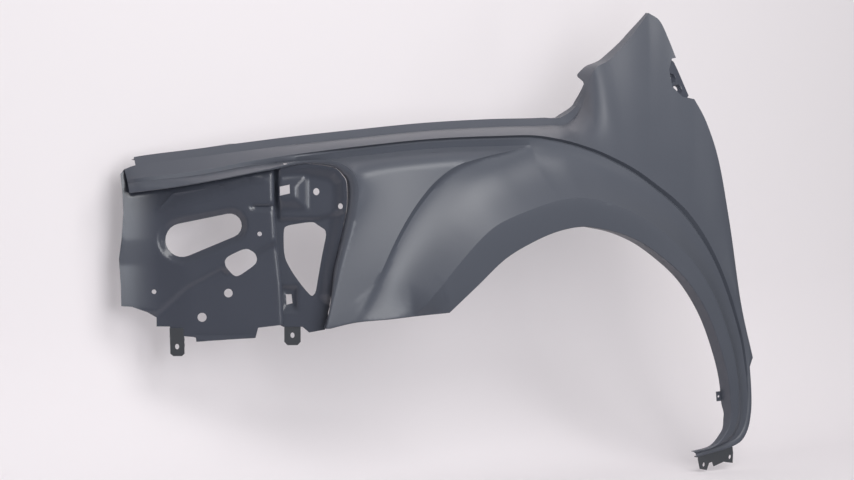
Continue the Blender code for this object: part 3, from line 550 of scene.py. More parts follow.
# Shader maths as plain expressions
class Wire:
    def __init__(self, tree, socket):
        self.tree = tree
        self.socket = socket

    def node(self, kind, settings=(), **inputs):
        made = self.tree.nodes.new(kind)
        for name, value in dict(settings).items():
            setattr(made, name, value)
        for name, value in inputs.items():
            target = made.inputs[int(name[1:])]
            if isinstance(value, Wire):
                self.tree.links.new(value.socket, target)
            else:
                target.default_value = value
        return made

    def maths(self, operation, first, second):
        made = self.node("ShaderNodeMath", {"operation": operation}, _0=first, _1=second)
        return Wire(self.tree, made.outputs[0])

    def __add__(self, other):
        return self.maths("ADD", self, other)

    __radd__ = __add__

    def __mul__(self, other):
        return self.maths("MULTIPLY", self, other)

    __rmul__ = __mul__

    def __sub__(self, other):
        return self.maths("SUBTRACT", self, other)

    def __rsub__(self, other):
        return self.maths("SUBTRACT", other, self)


# Primer of the skin, of the headlamp panels and pocket, and of the plates, each with a lighter colour
# painted on what faces up as top light
skinFinish = {
    "color": (0.095, 0.104, 0.130, 1),
    "shade": (0.077, 0.085, 0.107, 1),
    "topLightColor": (0.200, 0.200, 0.205, 1),
    "topLightAmount": 0.10,
    "roughness": 0.36,
    "roughnessSwing": 0.10,
    "bump": 0.05,
}
panelFinish = {
    "color": (0.068, 0.075, 0.098, 1),
    "shade": (0.055, 0.061, 0.081, 1),
    "topLightColor": (0.150, 0.150, 0.155, 1),
    "topLightAmount": 0.06,
    "roughness": 0.23,
    "roughnessSwing": 0.06,
    "bump": 0.03,
}
bracketFinish = {
    "color": (0.060, 0.064, 0.072, 1),
    "shade": (0.045, 0.048, 0.056, 1),
    "topLightColor": (0.180, 0.180, 0.185, 1),
    "topLightAmount": 0.10,
    "roughness": 0.34,
    "roughnessSwing": 0.12,
    "bump": 0.05,
}
primerGrain = {
    "cloudScale": 5.0,
    "speckScale": 260.0,
    "peelScale": 420.0,
    "detail": 3.0,
    "peelDetail": 2.0,
    "cloudShare": 0.7,
    "speckShare": 0.3,
    "peelHeight": 0.0005,
}


# Dipped primer: a cloudy colour, a painted top light that makes what faces up lighter, and fine orange
# peel
def primer(name, look):
    material = bpy.data.materials.new(name)
    material.use_nodes = True
    tree = material.node_tree
    shader = tree.nodes["Principled BSDF"]
    place = Wire(tree, tree.nodes.new("ShaderNodeTexCoord").outputs["Object"])
    detail = primerGrain["detail"]
    cloud = place.node("ShaderNodeTexNoise", _0=place, _2=primerGrain["cloudScale"], _3=detail)
    speck = place.node("ShaderNodeTexNoise", _0=place, _2=primerGrain["speckScale"], _3=detail)
    peel = place.node("ShaderNodeTexNoise", _0=place, _2=primerGrain["peelScale"],
                      _3=primerGrain["peelDetail"])
    cloudy = Wire(tree, cloud.outputs[0])
    grain = Wire(tree, speck.outputs[0])
    blend = cloudy * primerGrain["cloudShare"] + grain * primerGrain["speckShare"]
    body = place.node("ShaderNodeMix", {"data_type": "RGBA"}, _0=blend,
                      _6=look["shade"], _7=look["color"])
    facing = tree.nodes.new("ShaderNodeNewGeometry")
    split = place.node("ShaderNodeSeparateXYZ", _0=Wire(tree, facing.outputs["Normal"]))
    upward = place.node("ShaderNodeClamp", _0=Wire(tree, split.outputs[2]))
    # Painted top light: faces that point up are mixed toward the lighter colour
    paintedTopLight = Wire(tree, upward.outputs[0]) * look["topLightAmount"] * (0.5 + cloudy)
    color = place.node("ShaderNodeMix", {"data_type": "RGBA"}, _0=paintedTopLight,
                       _6=Wire(tree, body.outputs[2]), _7=look["topLightColor"])
    tree.links.new(color.outputs[2], shader.inputs["Base Color"])
    rough = look["roughness"] - 0.5 * look["roughnessSwing"] + look["roughnessSwing"] * cloudy
    tree.links.new(rough.socket, shader.inputs["Roughness"])
    bump = place.node("ShaderNodeBump")
    bump.inputs["Strength"].default_value = look["bump"]
    bump.inputs["Distance"].default_value = primerGrain["peelHeight"]
    tree.links.new(peel.outputs[0], bump.inputs["Height"])
    tree.links.new(bump.outputs[0], shader.inputs["Normal"])
    return material


skinPaint = primer("skinPaint", skinFinish)
panelPaint = primer("panelPaint", panelFinish)
bracketPaint = primer("bracketPaint", bracketFinish)
print("paints ready")


# How the sheets are drawn
press = {
    "roundSides": 20,
    "edgeSpacing": 1.3,  # along an edge, in mesh steps
    "edgeClear": 0.45,  # beside an edge, in mesh steps
    "joinShare": 0.01,  # of the gap between two pieces
    "cornerCuts": 2,
    "cornerShare": 0.2,
    "seekTurns": 16,
}


# Pieces are meshes pressed from the lines above
def addPiece(name, points, faces, material):
    sheet = bpy.data.meshes.new(name)
    sheet.from_pydata([tuple(point - home) for point in points], [], faces)
    piece = bpy.data.objects.new(name, sheet)
    bpy.context.scene.collection.objects.link(piece)
    sheet.materials.append(material)
    work = bmesh.new()
    work.from_mesh(sheet)
    loose = [vertex for vertex in work.verts if not vertex.link_faces]
    bmesh.ops.delete(work, geom=loose, context="VERTS")
    work.to_mesh(sheet)
    work.free()
    return piece


def pickOnly(piece):
    bpy.ops.object.select_all(action="DESELECT")
    bpy.context.view_layer.objects.active = piece
    piece.select_set(True)


def applyModifiers(piece):
    pickOnly(piece)
    for modifier in list(piece.modifiers):
        bpy.ops.object.modifier_apply(modifier=modifier.name)


def thicken(piece, thickness, even):
    sheet = piece.modifiers.new("sheet", "SOLIDIFY")
    sheet.thickness = thickness
    sheet.offset = -1
    sheet.use_even_offset = even
    applyModifiers(piece)


def finishPiece(piece, angle, node):
    pickOnly(piece)
    bpy.ops.object.shade_smooth_by_angle(angle=math.radians(angle))
    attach(piece, "root")
    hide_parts(node)
    print("made", piece.name)


# A prism between two copies of an outline cuts a hole through a piece
def cutPrism(target, outline, shift):
    count = len(outline)
    points = [point - shift for point in outline] + [point + shift for point in outline]
    faces = [tuple(range(count)), tuple(range(2 * count - 1, count - 1, -1))]
    for index in range(count):
        after = (index + 1) % count
        faces.append((after, index, count + index, count + after))
    cutter = addPiece("cutter", points, faces, skinPaint)
    work = bmesh.new()
    work.from_mesh(cutter.data)
    bmesh.ops.recalc_face_normals(work, faces=work.faces[:])
    work.to_mesh(cutter.data)
    work.free()
    cut = target.modifiers.new("cut", "BOOLEAN")
    cut.operation = "DIFFERENCE"
    cut.solver = "EXACT"
    cut.object = cutter
    applyModifiers(target)
    bpy.data.objects.remove(cutter, do_unlink=True)


def roundAngles():
    return [2 * math.pi * index / press["roundSides"] for index in range(press["roundSides"])]


def roundOutline(centre, firstAxis, secondAxis, radius):
    return [centre + firstAxis * radius * math.cos(angle) + secondAxis * radius * math.sin(angle)
            for angle in roundAngles()]


# A tree that finds the nearest of many flat places
def nearTree(places):
    tree = KDTree(len(places))
    for index, place in enumerate(places):
        tree.insert((*place, 0), index)
    tree.balance()
    return tree


# How far an edge of the skin lies from the pressed face, at many places along it
def edgeMisses(points, rim):
    dense = []
    parts = skin["missParts"]
    for first, second in zip(rim, rim[1:]):
        dense += [points[first].lerp(points[second], part / parts) for part in range(parts)]
    dense.append(points[rim[-1]])
    misses = [point.y - faceDepth(point.x, point.z) for point in dense]
    return nearTree([(point.x, point.z) for point in dense]), misses


# Lines that the mesh follows: the flare's start, the foot of its step and its crown
def ridgeLines():
    stepLine = []
    for x, z in flareLine[slice(*skin["stepLineRows"])]:
        direction, distance = wheelPlace(x, z)
        stepLine.append(wheelSpot(direction, distance - stepWidth(direction)))
    crownLine = []
    firstDegrees, spanDegrees = skin["crownDegrees"]
    for index in range(skin["crownParts"] + 1):
        degrees = firstDegrees + spanDegrees * index / skin["crownParts"]
        crownLine.append(crownPlace(math.radians(degrees)))
    return flareLine[slice(*skin["flareLineRows"])], stepLine, crownLine


# The face's own depth, drawn to the skin's edges near them
def drawnDepth(x, z, sides):
    depth = faceDepth(x, z)
    near = []
    for tree, misses in sides:
        index, distance = tree.find((x, z, 0))[1:]
        near.append((misses[index], distance))
    total = near[0][1] + near[1][1]
    for miss, distance in near:
        fall = max(0, 1 - distance / skin["edgeReach"]) ** 2
        depth += miss * (total - distance) / total * fall
    return depth


# The face below the crease is filled between the wall foot and the lower edge
def fillFace(points, footIndex, edgeIndex):
    outline = footIndex + list(reversed(edgeIndex))
    flat = [(points[index].x, points[index].z) for index in outline]
    edges = [(index, (index + 1) % len(flat)) for index in range(len(flat))]
    border = nearTree(flat)
    sides = [edgeMisses(points, rim) for rim in (footIndex, edgeIndex)]
    ridges = []
    for line in ridgeLines():
        start = len(flat)
        for place in line:
            if border.find((*place, 0))[2] > skin["ridgeClear"] * skin["faceStep"]:
                if len(flat) > start:
                    edges.append((len(flat) - 1, len(flat)))
                flat.append(place)
        ridges += flat[start:]
    ridgeTree = nearTree(ridges)
    step = skin["faceStep"]
    rowShare = skin["faceRowShare"]
    archShare, clearShare = skin["archClearShares"]
    for row in range(int(fender["height"] / (rowShare * step))):
        for column in range(int(fender["length"] / step)):
            place = ((column + 0.5 * (row % 2)) * step, row * rowShare * step)
            if border.find((*place, 0))[2] <= skin["borderClear"] * step:
                continue
            if ridgeTree.find((*place, 0))[2] <= skin["ridgeClear"] * step:
                continue
            direction, distance = wheelPlace(*place)
            if distance > archShare * fender["length"] * clearShare or direction > flareFoot:
                flat.append(place)
    tolerance = press["joinShare"] * fender["pieceGap"]
    result = delaunay_2d_cdt([Vector(place) for place in flat], edges, [], 1, tolerance)
    corners = []
    for vertex, sources in zip(result[0], result[3]):
        known = [source for source in sources if source < len(outline)]
        if known:
            corners.append(outline[known[0]])
            continue
        corners.append(len(points))
        points.append(Vector((vertex.x, drawnDepth(vertex.x, vertex.y, sides), vertex.y)))
    return [tuple(corners[index] for index in face) for face in result[2]]


# The pressed outer skin
def skinStations():
    steps = skin["columnsPerStation"]
    stations = [index / steps for index in range(skin["lastStation"] * steps + 1)]
    return sorted(set(stations + [skin["rimCornerStation"]]))


def buildSkin():
    stations = skinStations()
    points = []
    faces = []
    footIndex = []
    edgeIndex = []
    for station in stations:
        upper = flangePoints(station)
        upper += [bandPoint(station, step / skin["bandSteps"]) for step in range(skin["bandSteps"] + 1)]
        upper += groovePoints(station)
        lower = [lowerEdge(station)] + turnPoints(station)
        lower.append(lower[-1] - Vector((skin["earLength"], 0, 0)))
        footIndex.append(len(points) + len(upper) - 1)
        edgeIndex.append(len(points) + len(upper))
        points += upper + lower
    rows = len(upper) + len(lower)
    earStart, earEnd = skin["earStations"]
    for column in range(len(stations) - 1):
        left = stations[column]
        right = stations[column + 1]
        for row in range(rows - 1):
            if row == len(upper) - 1:
                continue
            if row < skin["flangeRows"] and left < skin["flangeStartStation"]:
                continue
            if row == rows - 2 and not (left >= earStart and right <= earEnd):
                continue
            first = column * rows + row
            faces.append((first, first + 1, first + rows + 1, first + rows))
    faces += fillFace(points, footIndex, edgeIndex)
    piece = addPiece("outerSkinSheet", points, faces, skinPaint)
    thicken(piece, fender["skinSheet"], True)
    forward = Vector((1, 0, 0))
    for station in skin["padHoleStations"]:
        cutPrism(piece, roundOutline(padPoint(station), forward, inboard, skin["padHoleRadius"]),
                 up * 0.5 * skin["ridgeRise"])
    ear = turnPoints((earStart + earEnd) / 2)[-1] - forward * skin["earLength"] / 2
    cutPrism(piece, roundOutline(ear, forward, up, skin["earHoleRadius"]), inboard * skin["earLength"])
    cutPrism(piece, [Vector((x, 0, z)) for x, z in notch], inboard * fender["depth"])
    finishPiece(piece, skin["smoothDegrees"], "outer_skin")


# Whether a place lies inside an outline, and how far it lies from a line
def inside(polygon, x, y):
    found = False
    for index, (xA, yA) in enumerate(polygon):
        xB, yB = polygon[index - 1]
        if (yA > y) != (yB > y) and x < xA + (y - yA) * (xB - xA) / (yB - yA):
            found = not found
    return found


def away(line, x, y, closed=False):
    best = fender["length"]
    pairs = list(zip(line, line[1:]))
    if closed:
        pairs.append((line[-1], line[0]))
    for (xA, yA), (xB, yB) in pairs:
        run = (xB - xA, yB - yA)
        size = run[0] ** 2 + run[1] ** 2
        share = min(1, max(0, ((x - xA) * run[0] + (y - yA) * run[1]) / size))
        best = min(best, math.hypot(x - xA - share * run[0], y - yA - share * run[1]))
    return best


# Places along a line or a closed outline, about one mesh step apart
def spaced(loop, closed, step):
    dense = []
    for index, first in enumerate(loop if closed else loop[:-1]):
        second = loop[(index + 1) % len(loop)]
        length = math.hypot(second[0] - first[0], second[1] - first[1])
        parts = max(1, round(length / (press["edgeSpacing"] * step)))
        for part in range(parts):
            share = part / parts
            dense.append((first[0] + share * (second[0] - first[0]),
                          first[1] + share * (second[1] - first[1])))
    if not closed:
        dense.append(loop[-1])
    return dense


# A sheet cut to an outline with holes, then pressed by a function that gives points in space
def pressedSheet(name, node, outline, holes, lines, place, step, thickness, material, angle):
    loops = [list(outline)] + [list(hole) for hole in holes]
    flat = []
    edges = []
    for loop in loops + lines:
        closed = loop in loops
        dense = spaced(loop, closed, step)
        start = len(flat)
        flat += dense
        edges += [(start + index, start + index + 1) for index in range(len(dense) - 1)]
        if closed:
            edges.append((start + len(dense) - 1, start))
    left = min(point[0] for point in outline)
    right = max(point[0] for point in outline)
    low = min(point[1] for point in outline)
    high = max(point[1] for point in outline)
    for row in range(1, int((high - low) / step) + 1):
        for column in range(1, int((right - left) / step) + 1):
            x = left + (column + 0.5 * (row % 2)) * step
            y = low + row * step
            if not inside(outline, x, y) or any(inside(hole, x, y) for hole in holes):
                continue
            near = [away(loop, x, y, True) for loop in loops] + [away(line, x, y) for line in lines]
            if min(near) > press["edgeClear"] * step:
                flat.append((x, y))
    tolerance = press["joinShare"] * fender["pieceGap"]
    result = delaunay_2d_cdt([Vector(point) for point in flat], edges, [], 0, tolerance)
    faces = []
    for face in result[2]:
        x = sum(result[0][corner].x for corner in face) / 3
        y = sum(result[0][corner].y for corner in face) / 3
        if inside(outline, x, y) and not any(inside(hole, x, y) for hole in holes):
            faces.append(tuple(face))
    points = [place(vertex.x, vertex.y) for vertex in result[0]]
    facing = 0
    for face in faces:
        first, second, third = [points[corner] for corner in face]
        facing += (second - first).cross(third - first).y
    if facing > 0:
        faces = [tuple(reversed(face)) for face in faces]
    piece = addPiece(name, points, faces, material)
    thicken(piece, thickness, False)
    finishPiece(piece, angle, node)


def lampPlace(along, height, out):
    return lampPoint + lampAlong * along + lampOut * out + up * height


def circleHole(centre, radius, secondRadius):
    return [(centre[0] + radius * math.cos(angle), centre[1] + secondRadius * math.sin(angle))
            for angle in roundAngles()]


# Shares of the lamp plane made into lengths
def inPlane(shares):
    if isinstance(shares[0], (int, float)):
        return (shares[0] * lampRun, shares[1] * fender["height"])
    return [inPlane(pair) for pair in shares]


# A closed outline with its corners cut off, again and again
def rounded(points):
    share = press["cornerShare"]
    for turn in range(press["cornerCuts"]):
        soft = []
        for index, (x, y) in enumerate(points):
            nextX, nextY = points[(index + 1) % len(points)]
            soft.append(((1 - share) * x + share * nextX, (1 - share) * y + share * nextY))
            soft.append((share * x + (1 - share) * nextX, share * y + (1 - share) * nextY))
        points = soft
    return points


# Points of the lamp opening where the return flange wall stands, seen square to the panels
def wallOutline(stations, columns):
    first, last = stations
    points = []
    for index in range(round((last - first) * columns) + 1):
        station = first + index / columns
        out = turnFrame(station)[1]
        wall = turnPoints(station)[skin["turnSteps"] - 1] + out * fender["pieceGap"] * 0.5
        offset = wall - lampPoint
        points.append((offset.dot(lampAlong), offset.z))
    return points


# How far a place lies above a line given as shares, and where an upright line stands at a height
def above(line, along, height):
    return height - fender["height"] * straight(line, along / lampRun)


def upright(line, height):
    return lampRun * straight(tuple(reversed(line)), height / fender["height"])


# Front panel in its own plane, as shares of the lamp plane's run and of the height
frontPanel = {
    "depth": 0.022,
    "outlineShares": (
        (1.008, 0.551), (1.027, 0.541), (1.017, 0.497), (1.014, 0.459), (1.024, 0.403),
        (1.037, 0.363), (1.029, 0.309), (1.027, 0.264), (0.976, 0.262), (0.902, 0.250),
        (0.857, 0.238), (0.857, 0.219), (0.791, 0.219), (0.780, 0.201), (0.658, 0.197),
        (0.656, 0.188), (0.361, 0.197), (0.348, 0.217),
    ),
    "skinCornerShares": ((0.980, 0.5495), (0.9775, 0.5045)),
    "bendLineShares": (
        (0.551, 0.287), (0.486, 0.285), (0.460, 0.282), (0.407, 0.275), (0.308, 0.249),
        (0.218, 0.239),
    ),
    "bendRadius": 0.008,
    "bendDepth": 0.016,
    "bendDrop": 0.004,
    "bendHeightShares": (0.486, 0.433, 0.353, 0.278, 0.225),
    "bendParts": 4,
    "oblongEndShares": ((0.727, 0.401), (0.488, 0.432)),
    "oblongRadii": (0.033, 0.0235),
    "oblongParts": (12, 8),
    "quadHoleShares": (
        (0.513, 0.359), (0.496, 0.368), (0.427, 0.382), (0.397, 0.384), (0.361, 0.375),
        (0.351, 0.361), (0.361, 0.350), (0.435, 0.328), (0.458, 0.325), (0.475, 0.329),
        (0.508, 0.345),
    ),
    "holeShares": ((0.628, 0.239), (0.496, 0.290), (0.867, 0.293), (0.338, 0.415)),
    "holeRadii": (0.009, 0.0085, 0.0045, 0.0045),
    "stripLineShares": (
        (0.551, 0.999), (0.502, 0.986), (0.403, 0.984), (0.350, 1.002), (0.265, 0.991),
    ),
    "stripRise": 0.0103,
    "stripPower": 1.5,
    "stripEndShare": 1.25,
    "stripSlopeWidth": 0.058,
    "stepLineShares": (
        (0.277, 0.394), (0.496, 0.333), (0.526, 0.343), (0.702, 0.303), (0.857, 0.245),
        (0.902, 0.248),
    ),
    "stepDrop": 0.007,
    "stepWidth": 0.016,
    "wedgeLowLineShares": ((0.399, 0.526), (0.585, 0.490), (0.844, 0.465)),
    "wedgeHighLineShares": ((0.305, 0.528), (0.623, 0.509), (0.768, 0.500), (0.844, 0.465)),
    "wedgeRise": 0.003,
    "wedgeRidge": 0.0018,
    "wedgeRidgeWidth": 0.004,
    "lipHeightShare": 0.203,
    "lipRise": 0.007,
    "lipReachShare": 0.666,
    "rimRoll": 0.010,
    "rimRollWidth": 0.014,
    "stripDip": 0.0064,
    "stripDipWidth": 0.070,
    "topStations": (0, 5.5),
    "topColumns": 4,
    "topRoll": 0.005,
    "topRollWidth": 0.007,
    "wedgeFade": 0.030,
    "beadHeightShare": 0.471,
    "beadDepth": 0.006,
    "beadHalfWidth": 0.007,
    "beadReachShare": 0.394,
    "meshStep": 0.0045,
    "smoothDegrees": 40,
}


# The long hole: two round ends of different size joined by straight sides
def oblongHole():
    (xA, yA), (xB, yB) = inPlane(frontPanel["oblongEndShares"])
    radiusA, radiusB = frontPanel["oblongRadii"]
    lean = math.atan2(yB - yA, xB - xA)
    tilt = math.acos((radiusA - radiusB) / math.hypot(xB - xA, yB - yA))
    points = []
    partsA, partsB = frontPanel["oblongParts"]
    for index in range(partsA + 1):
        angle = lean + tilt + (2 * math.pi - 2 * tilt) * index / partsA
        points.append((xA + radiusA * math.cos(angle), yA + radiusA * math.sin(angle)))
    for index in range(partsB + 1):
        angle = lean - tilt + 2 * tilt * index / partsB
        points.append((xB + radiusB * math.cos(angle), yB + radiusB * math.sin(angle)))
    return points


# The lower and upper edges of the wedge pressed over the long hole
def wedgeHeights(along):
    low = above(frontPanel["wedgeLowLineShares"], along, 0)
    high = above(frontPanel["wedgeHighLineShares"], along, 0)
    return -low, max(0.5 * frontPanel["stepWidth"] - low, -high)


# How far the front panel stands out at a place: strip, step, wedge, lip, bead and rolled rims
def frontOut(along, height):
    out = -frontPanel["depth"]
    strip = upright(frontPanel["stripLineShares"], height)
    over = along - strip + frontPanel["stripSlopeWidth"]
    slope = min(frontPanel["stripEndShare"], max(0, over / frontPanel["stripSlopeWidth"]))
    out += frontPanel["stripRise"] * slope ** frontPanel["stripPower"]
    out -= frontPanel["stripDip"] * ease(1 + over / frontPanel["stripDipWidth"])
    step = above(frontPanel["stepLineShares"], along, height) / frontPanel["stepWidth"]
    out -= frontPanel["stepDrop"] * ease(0.5 - step)
    wedgeLow = frontPanel["wedgeLowLineShares"]
    wedgeHigh = frontPanel["wedgeHighLineShares"]
    first = wedgeHigh[0][0] * lampRun
    last = wedgeHigh[-1][0] * lampRun
    if first < along < last:
        low, high = wedgeHeights(along)
        fade = ease((last - along) / frontPanel["wedgeFade"])
        fade *= ease((along - first) / frontPanel["wedgeFade"])
        out += frontPanel["wedgeRise"] * fade * min(1, max(0, (height - low) / (high - low)))
    ridge = min(away(inPlane(wedgeLow), along, height), away(inPlane(wedgeHigh), along, height))
    out += frontPanel["wedgeRidge"] * max(0, 1 - ridge / frontPanel["wedgeRidgeWidth"])
    if along < frontPanel["lipReachShare"] * lampRun:
        below = frontPanel["lipHeightShare"] * fender["height"] - height
        out += frontPanel["lipRise"] * ease(below / frontPanel["lipRise"])
    fade = ease((frontPanel["beadReachShare"] * lampRun - along) / frontPanel["stepWidth"])
    bead = abs(height - frontPanel["beadHeightShare"] * fender["height"]) / frontPanel["beadHalfWidth"]
    out -= frontPanel["beadDepth"] * fade * ease(1 - bead)
    top = away(topLine, along, height)
    out -= frontPanel["topRoll"] * max(0, 1 - top / frontPanel["topRollWidth"]) ** 2
    hole = away(oblong, along, height, True)
    return out - frontPanel["rimRoll"] * ease(1 - hole / frontPanel["rimRollWidth"])


# The front panel wraps round a bend at its rear side
def frontPlace(along, height):
    line = bendX(height)
    over = line - along
    if over <= 0:
        return lampPlace(along, height, frontOut(along, height))
    base = frontOut(line, height)
    angle = min(math.pi / 2, over / frontPanel["bendRadius"])
    rest = over - angle * frontPanel["bendRadius"]
    end = -frontPanel["depth"] - frontPanel["bendDepth"]
    fall = frontPanel["bendRadius"] * (1 - math.cos(angle))
    spare = base - frontPanel["bendRadius"] - end
    return lampPlace(line - frontPanel["bendRadius"] * math.sin(angle), height,
                     base - fall - min(1, rest / bendTail()) * spare)


def bendX(height):
    return upright(frontPanel["bendLineShares"], height)


def bendFoot(height):
    return bendX(height) - frontPanel["bendRadius"] - 2 * fender["pieceGap"]


def bendTail():
    return frontPanel["bendDepth"] - frontPanel["bendRadius"]


def bendEdge(height):
    return bendX(height) - frontPanel["bendRadius"] * math.pi / 2 - bendTail()


def buildFrontPanel():
    top = wallOutline(frontPanel["topStations"], skin["columnsPerStation"])
    top = [point for point in top if point[0] > bendEdge(point[1]) + frontPanel["meshStep"]]
    heights = [top[-1][1] - frontPanel["bendDrop"]]
    heights += [fender["height"] * share for share in frontPanel["bendHeightShares"]]
    edge = [(bendEdge(height), height) for height in heights]
    bends = []
    for part in range(frontPanel["bendParts"] + 1):
        turn = frontPanel["bendRadius"] * math.pi / 2 * (part / frontPanel["bendParts"])
        bends.append([(bendX(height) - turn, height) for height in heights])
    wedge = [inPlane(frontPanel["wedgeLowLineShares"]), inPlane(frontPanel["wedgeHighLineShares"][1:])]
    outline = inPlane(frontPanel["skinCornerShares"]) + top + edge
    outline += reversed(inPlane(frontPanel["outlineShares"]))
    holes = [oblong, rounded(inPlane(frontPanel["quadHoleShares"]))]
    for shares, radius in zip(frontPanel["holeShares"], frontPanel["holeRadii"]):
        holes.append(circleHole(inPlane(shares), radius, radius))
    pressedSheet("headlampFrontPanelSheet", "headlamp_front_panel",
                 outline, holes, bends + wedge, frontPlace, frontPanel["meshStep"],
                 fender["panelSheet"], panelPaint, frontPanel["smoothDegrees"])


# Rear panel in the same shares, one bend deeper
rearPanelDepth = frontPanel["depth"] + frontPanel["bendDepth"] + fender["pieceGap"]
rearPanel = {
    "outlineLowShares": ((0.015, 0.212), (0.094, 0.206), (0.127, 0.218), (0.224, 0.218)),
    "overlap": 0.006,
    "overlapTopShare": 0.540,
    "triangleHoleShares": (
        (0.221, 0.425), (0.201, 0.432), (0.074, 0.440), (0.048, 0.432), (0.003, 0.420),
        (0.028, 0.371), (0.051, 0.316), (0.061, 0.290), (0.081, 0.281), (0.125, 0.302),
        (0.180, 0.334), (0.219, 0.366),
    ),
    "squareHoleShares": ((0.239, 0.514), (0.188, 0.519), (0.186, 0.500), (0.239, 0.495)),
    "lowerSlotShares": ((0.211, 0.286), (0.183, 0.286), (0.178, 0.267), (0.208, 0.264)),
    "holeShares": ((0.056, 0.503), (-0.064, 0.473)),
    "holeRadii": (0.006, 0.005),
    "holeStretchShare": 1.15,
    "rimRise": 0.012,
    "rimRiseWidth": 0.030,
    "bossCentreShares": (0.203, 0.502),
    "bossHalf": (0.030, 0.024),
    "bossRise": 0.012,
    "bossEdge": 0.030,
    "dimpleCentreShares": (0.196, 0.278),
    "dimpleHalf": (0.014, 0.022),
    "dimpleDrop": 0.008,
    "ledgeLineShares": ((0.153, 0.440), (0.046, 0.441), (-0.084, 0.456), (-0.178, 0.464)),
    "ledgeRise": 0.007,
    "ledgeSlope": 0.010,
    "softEdge": 0.012,
    "rimStations": (4.5, 11.5),
}


# How far a place lies outside an upright box
def beyond(centre, half, along, height):
    return max(abs(along - centre[0]) - half[0], abs(height - centre[1]) - half[1])


# How far the rear panel stands out at a place: rim, boss, ledge and dimple
def rearOut(along, height):
    rim = away(rearRim, along, height)
    rise = rearPanel["rimRise"] * ease(1 - rim / rearPanel["rimRiseWidth"])
    boss = beyond(inPlane(rearPanel["bossCentreShares"]), rearPanel["bossHalf"], along, height)
    rise += rearPanel["bossRise"] * ease(0.5 - boss / rearPanel["bossEdge"])
    ledge = above(tuple(reversed(rearPanel["ledgeLineShares"])), along, height)
    rise += rearPanel["ledgeRise"] * ease(ledge / rearPanel["ledgeSlope"])
    out = rise * ease((bendFoot(height) - along) / rearPanel["softEdge"]) - rearPanelDepth
    dimple = beyond(inPlane(rearPanel["dimpleCentreShares"]), rearPanel["dimpleHalf"], along, height)
    out -= rearPanel["dimpleDrop"] * ease(0.5 - dimple / rearPanel["softEdge"])
    return out


def rearPlace(along, height):
    return lampPlace(along, height, rearOut(along, height))


def buildRearPanel():
    shares = tuple(reversed(frontPanel["bendHeightShares"])) + (rearPanel["overlapTopShare"],)
    heights = [fender["height"] * share for share in shares]
    left = [(bendX(height) + rearPanel["overlap"], height) for height in heights]
    outline = rearRim + inPlane(rearPanel["outlineLowShares"]) + left
    holes = [rounded(inPlane(rearPanel["triangleHoleShares"])),
             inPlane(rearPanel["squareHoleShares"]), inPlane(rearPanel["lowerSlotShares"])]
    for shares, radius in zip(rearPanel["holeShares"], rearPanel["holeRadii"]):
        holes.append(circleHole(inPlane(shares), radius, rearPanel["holeStretchShare"] * radius))
    bend = [(bendFoot(height), height) for height in heights]
    pressedSheet("headlampRearPanelSheet", "headlamp_rear_panel",
                 outline, holes, [bend], rearPlace, frontPanel["meshStep"],
                 fender["panelSheet"], panelPaint, frontPanel["smoothDegrees"])


# Bumper tabs in the same shares
tabs = {
    "frontOutlineShares": (
        (0.791, 0.216), (0.719, 0.216), (0.717, 0.162), (0.730, 0.157), (0.773, 0.157),
        (0.788, 0.162),
    ),
    "frontSlotShares": (0.754, 0.177),
    "rearOutlineShares": (
        (0.219, 0.228), (0.137, 0.228), (0.137, 0.186), (0.153, 0.179), (0.203, 0.179),
        (0.219, 0.186),
    ),
    "rearSlotShares": (0.178, 0.200),
    "slotRadii": (0.004, 0.0055),
}


# The two slotted tabs behind the lower edge of the panels
def buildTab(name, node, outlineShares, slotShares, panelOut):
    base = panelOut - fender["panelSheet"] - fender["pieceGap"]
    slot = circleHole(inPlane(slotShares), *tabs["slotRadii"])

    def tabPlace(along, height):
        return lampPlace(along, height, base)

    pressedSheet(name, node,
                 inPlane(outlineShares), [slot], [], tabPlace, frontPanel["meshStep"],
                 fender["bracketSheet"], bracketPaint, frontPanel["smoothDegrees"])


# The station where a line's measure falls to a goal
def stationWhere(line, measure, goal, stations):
    low, high = stations
    for turn in range(press["seekTurns"]):
        middle = (low + high) / 2
        if measure(line(middle)) > goal:
            low = middle
        else:
            high = middle
    return (low + high) / 2


# Rear foot bracket: share of the last stretch of the skin's foot, and drop below its fold
rearFoot = {
    "endShares": (0.033, 0.968),
    "lineShares": (0.033, 0.088, 0.272, 0.338, 0.424, 0.468, 0.740, 0.989, 1.000),
    "lineDrops": (0.0053, 0.0271, 0.0338, 0.0197, 0.0190, 0.0296, 0.0258, 0.0352, 0.0139),
    "flangeWidth": 0.012,
    "slotShares": (0.191, 0.913),
    "slotDrop": 0.020,
    "slotRadii": (0.003, 0.0045),
    "seekStations": (37.2, 39),
    "stations": (39, 38),
    "foldParts": 8,
    "smoothDegrees": 30,
}


# The foot bracket hangs under the folded lower end of the skin
def footEdge(x):
    return upperEdge(stationWhere(upperEdge, lambda point: point.x, x, rearFoot["seekStations"]))


def footX(share):
    low, high = [upperEdge(station).x for station in rearFoot["stations"]]
    return low + share * (high - low)


def footPlace(x, rise):
    edge = footEdge(x)
    return Vector((x, edge.y + max(0, rise), edge.z - fender["pieceGap"] + min(0, rise)))


def buildFoot():
    first, last = rearFoot["endShares"]
    parts = rearFoot["foldParts"]
    across = [footX(last + (first - last) * index / parts) for index in range(parts + 1)]
    line = zip(rearFoot["lineShares"], rearFoot["lineDrops"])
    outline = [(footX(share), -drop) for share, drop in line]
    outline += [(x, rearFoot["flangeWidth"]) for x in across]
    holes = [circleHole((footX(share), -rearFoot["slotDrop"]), *rearFoot["slotRadii"])
             for share in rearFoot["slotShares"]]
    fold = [(x, 0) for x in across]
    pressedSheet("rearFootPlate", "rear_foot_bracket",
                 outline, holes, [fold], footPlace, frontPanel["meshStep"],
                 fender["bracketSheet"], bracketPaint, rearFoot["smoothDegrees"])


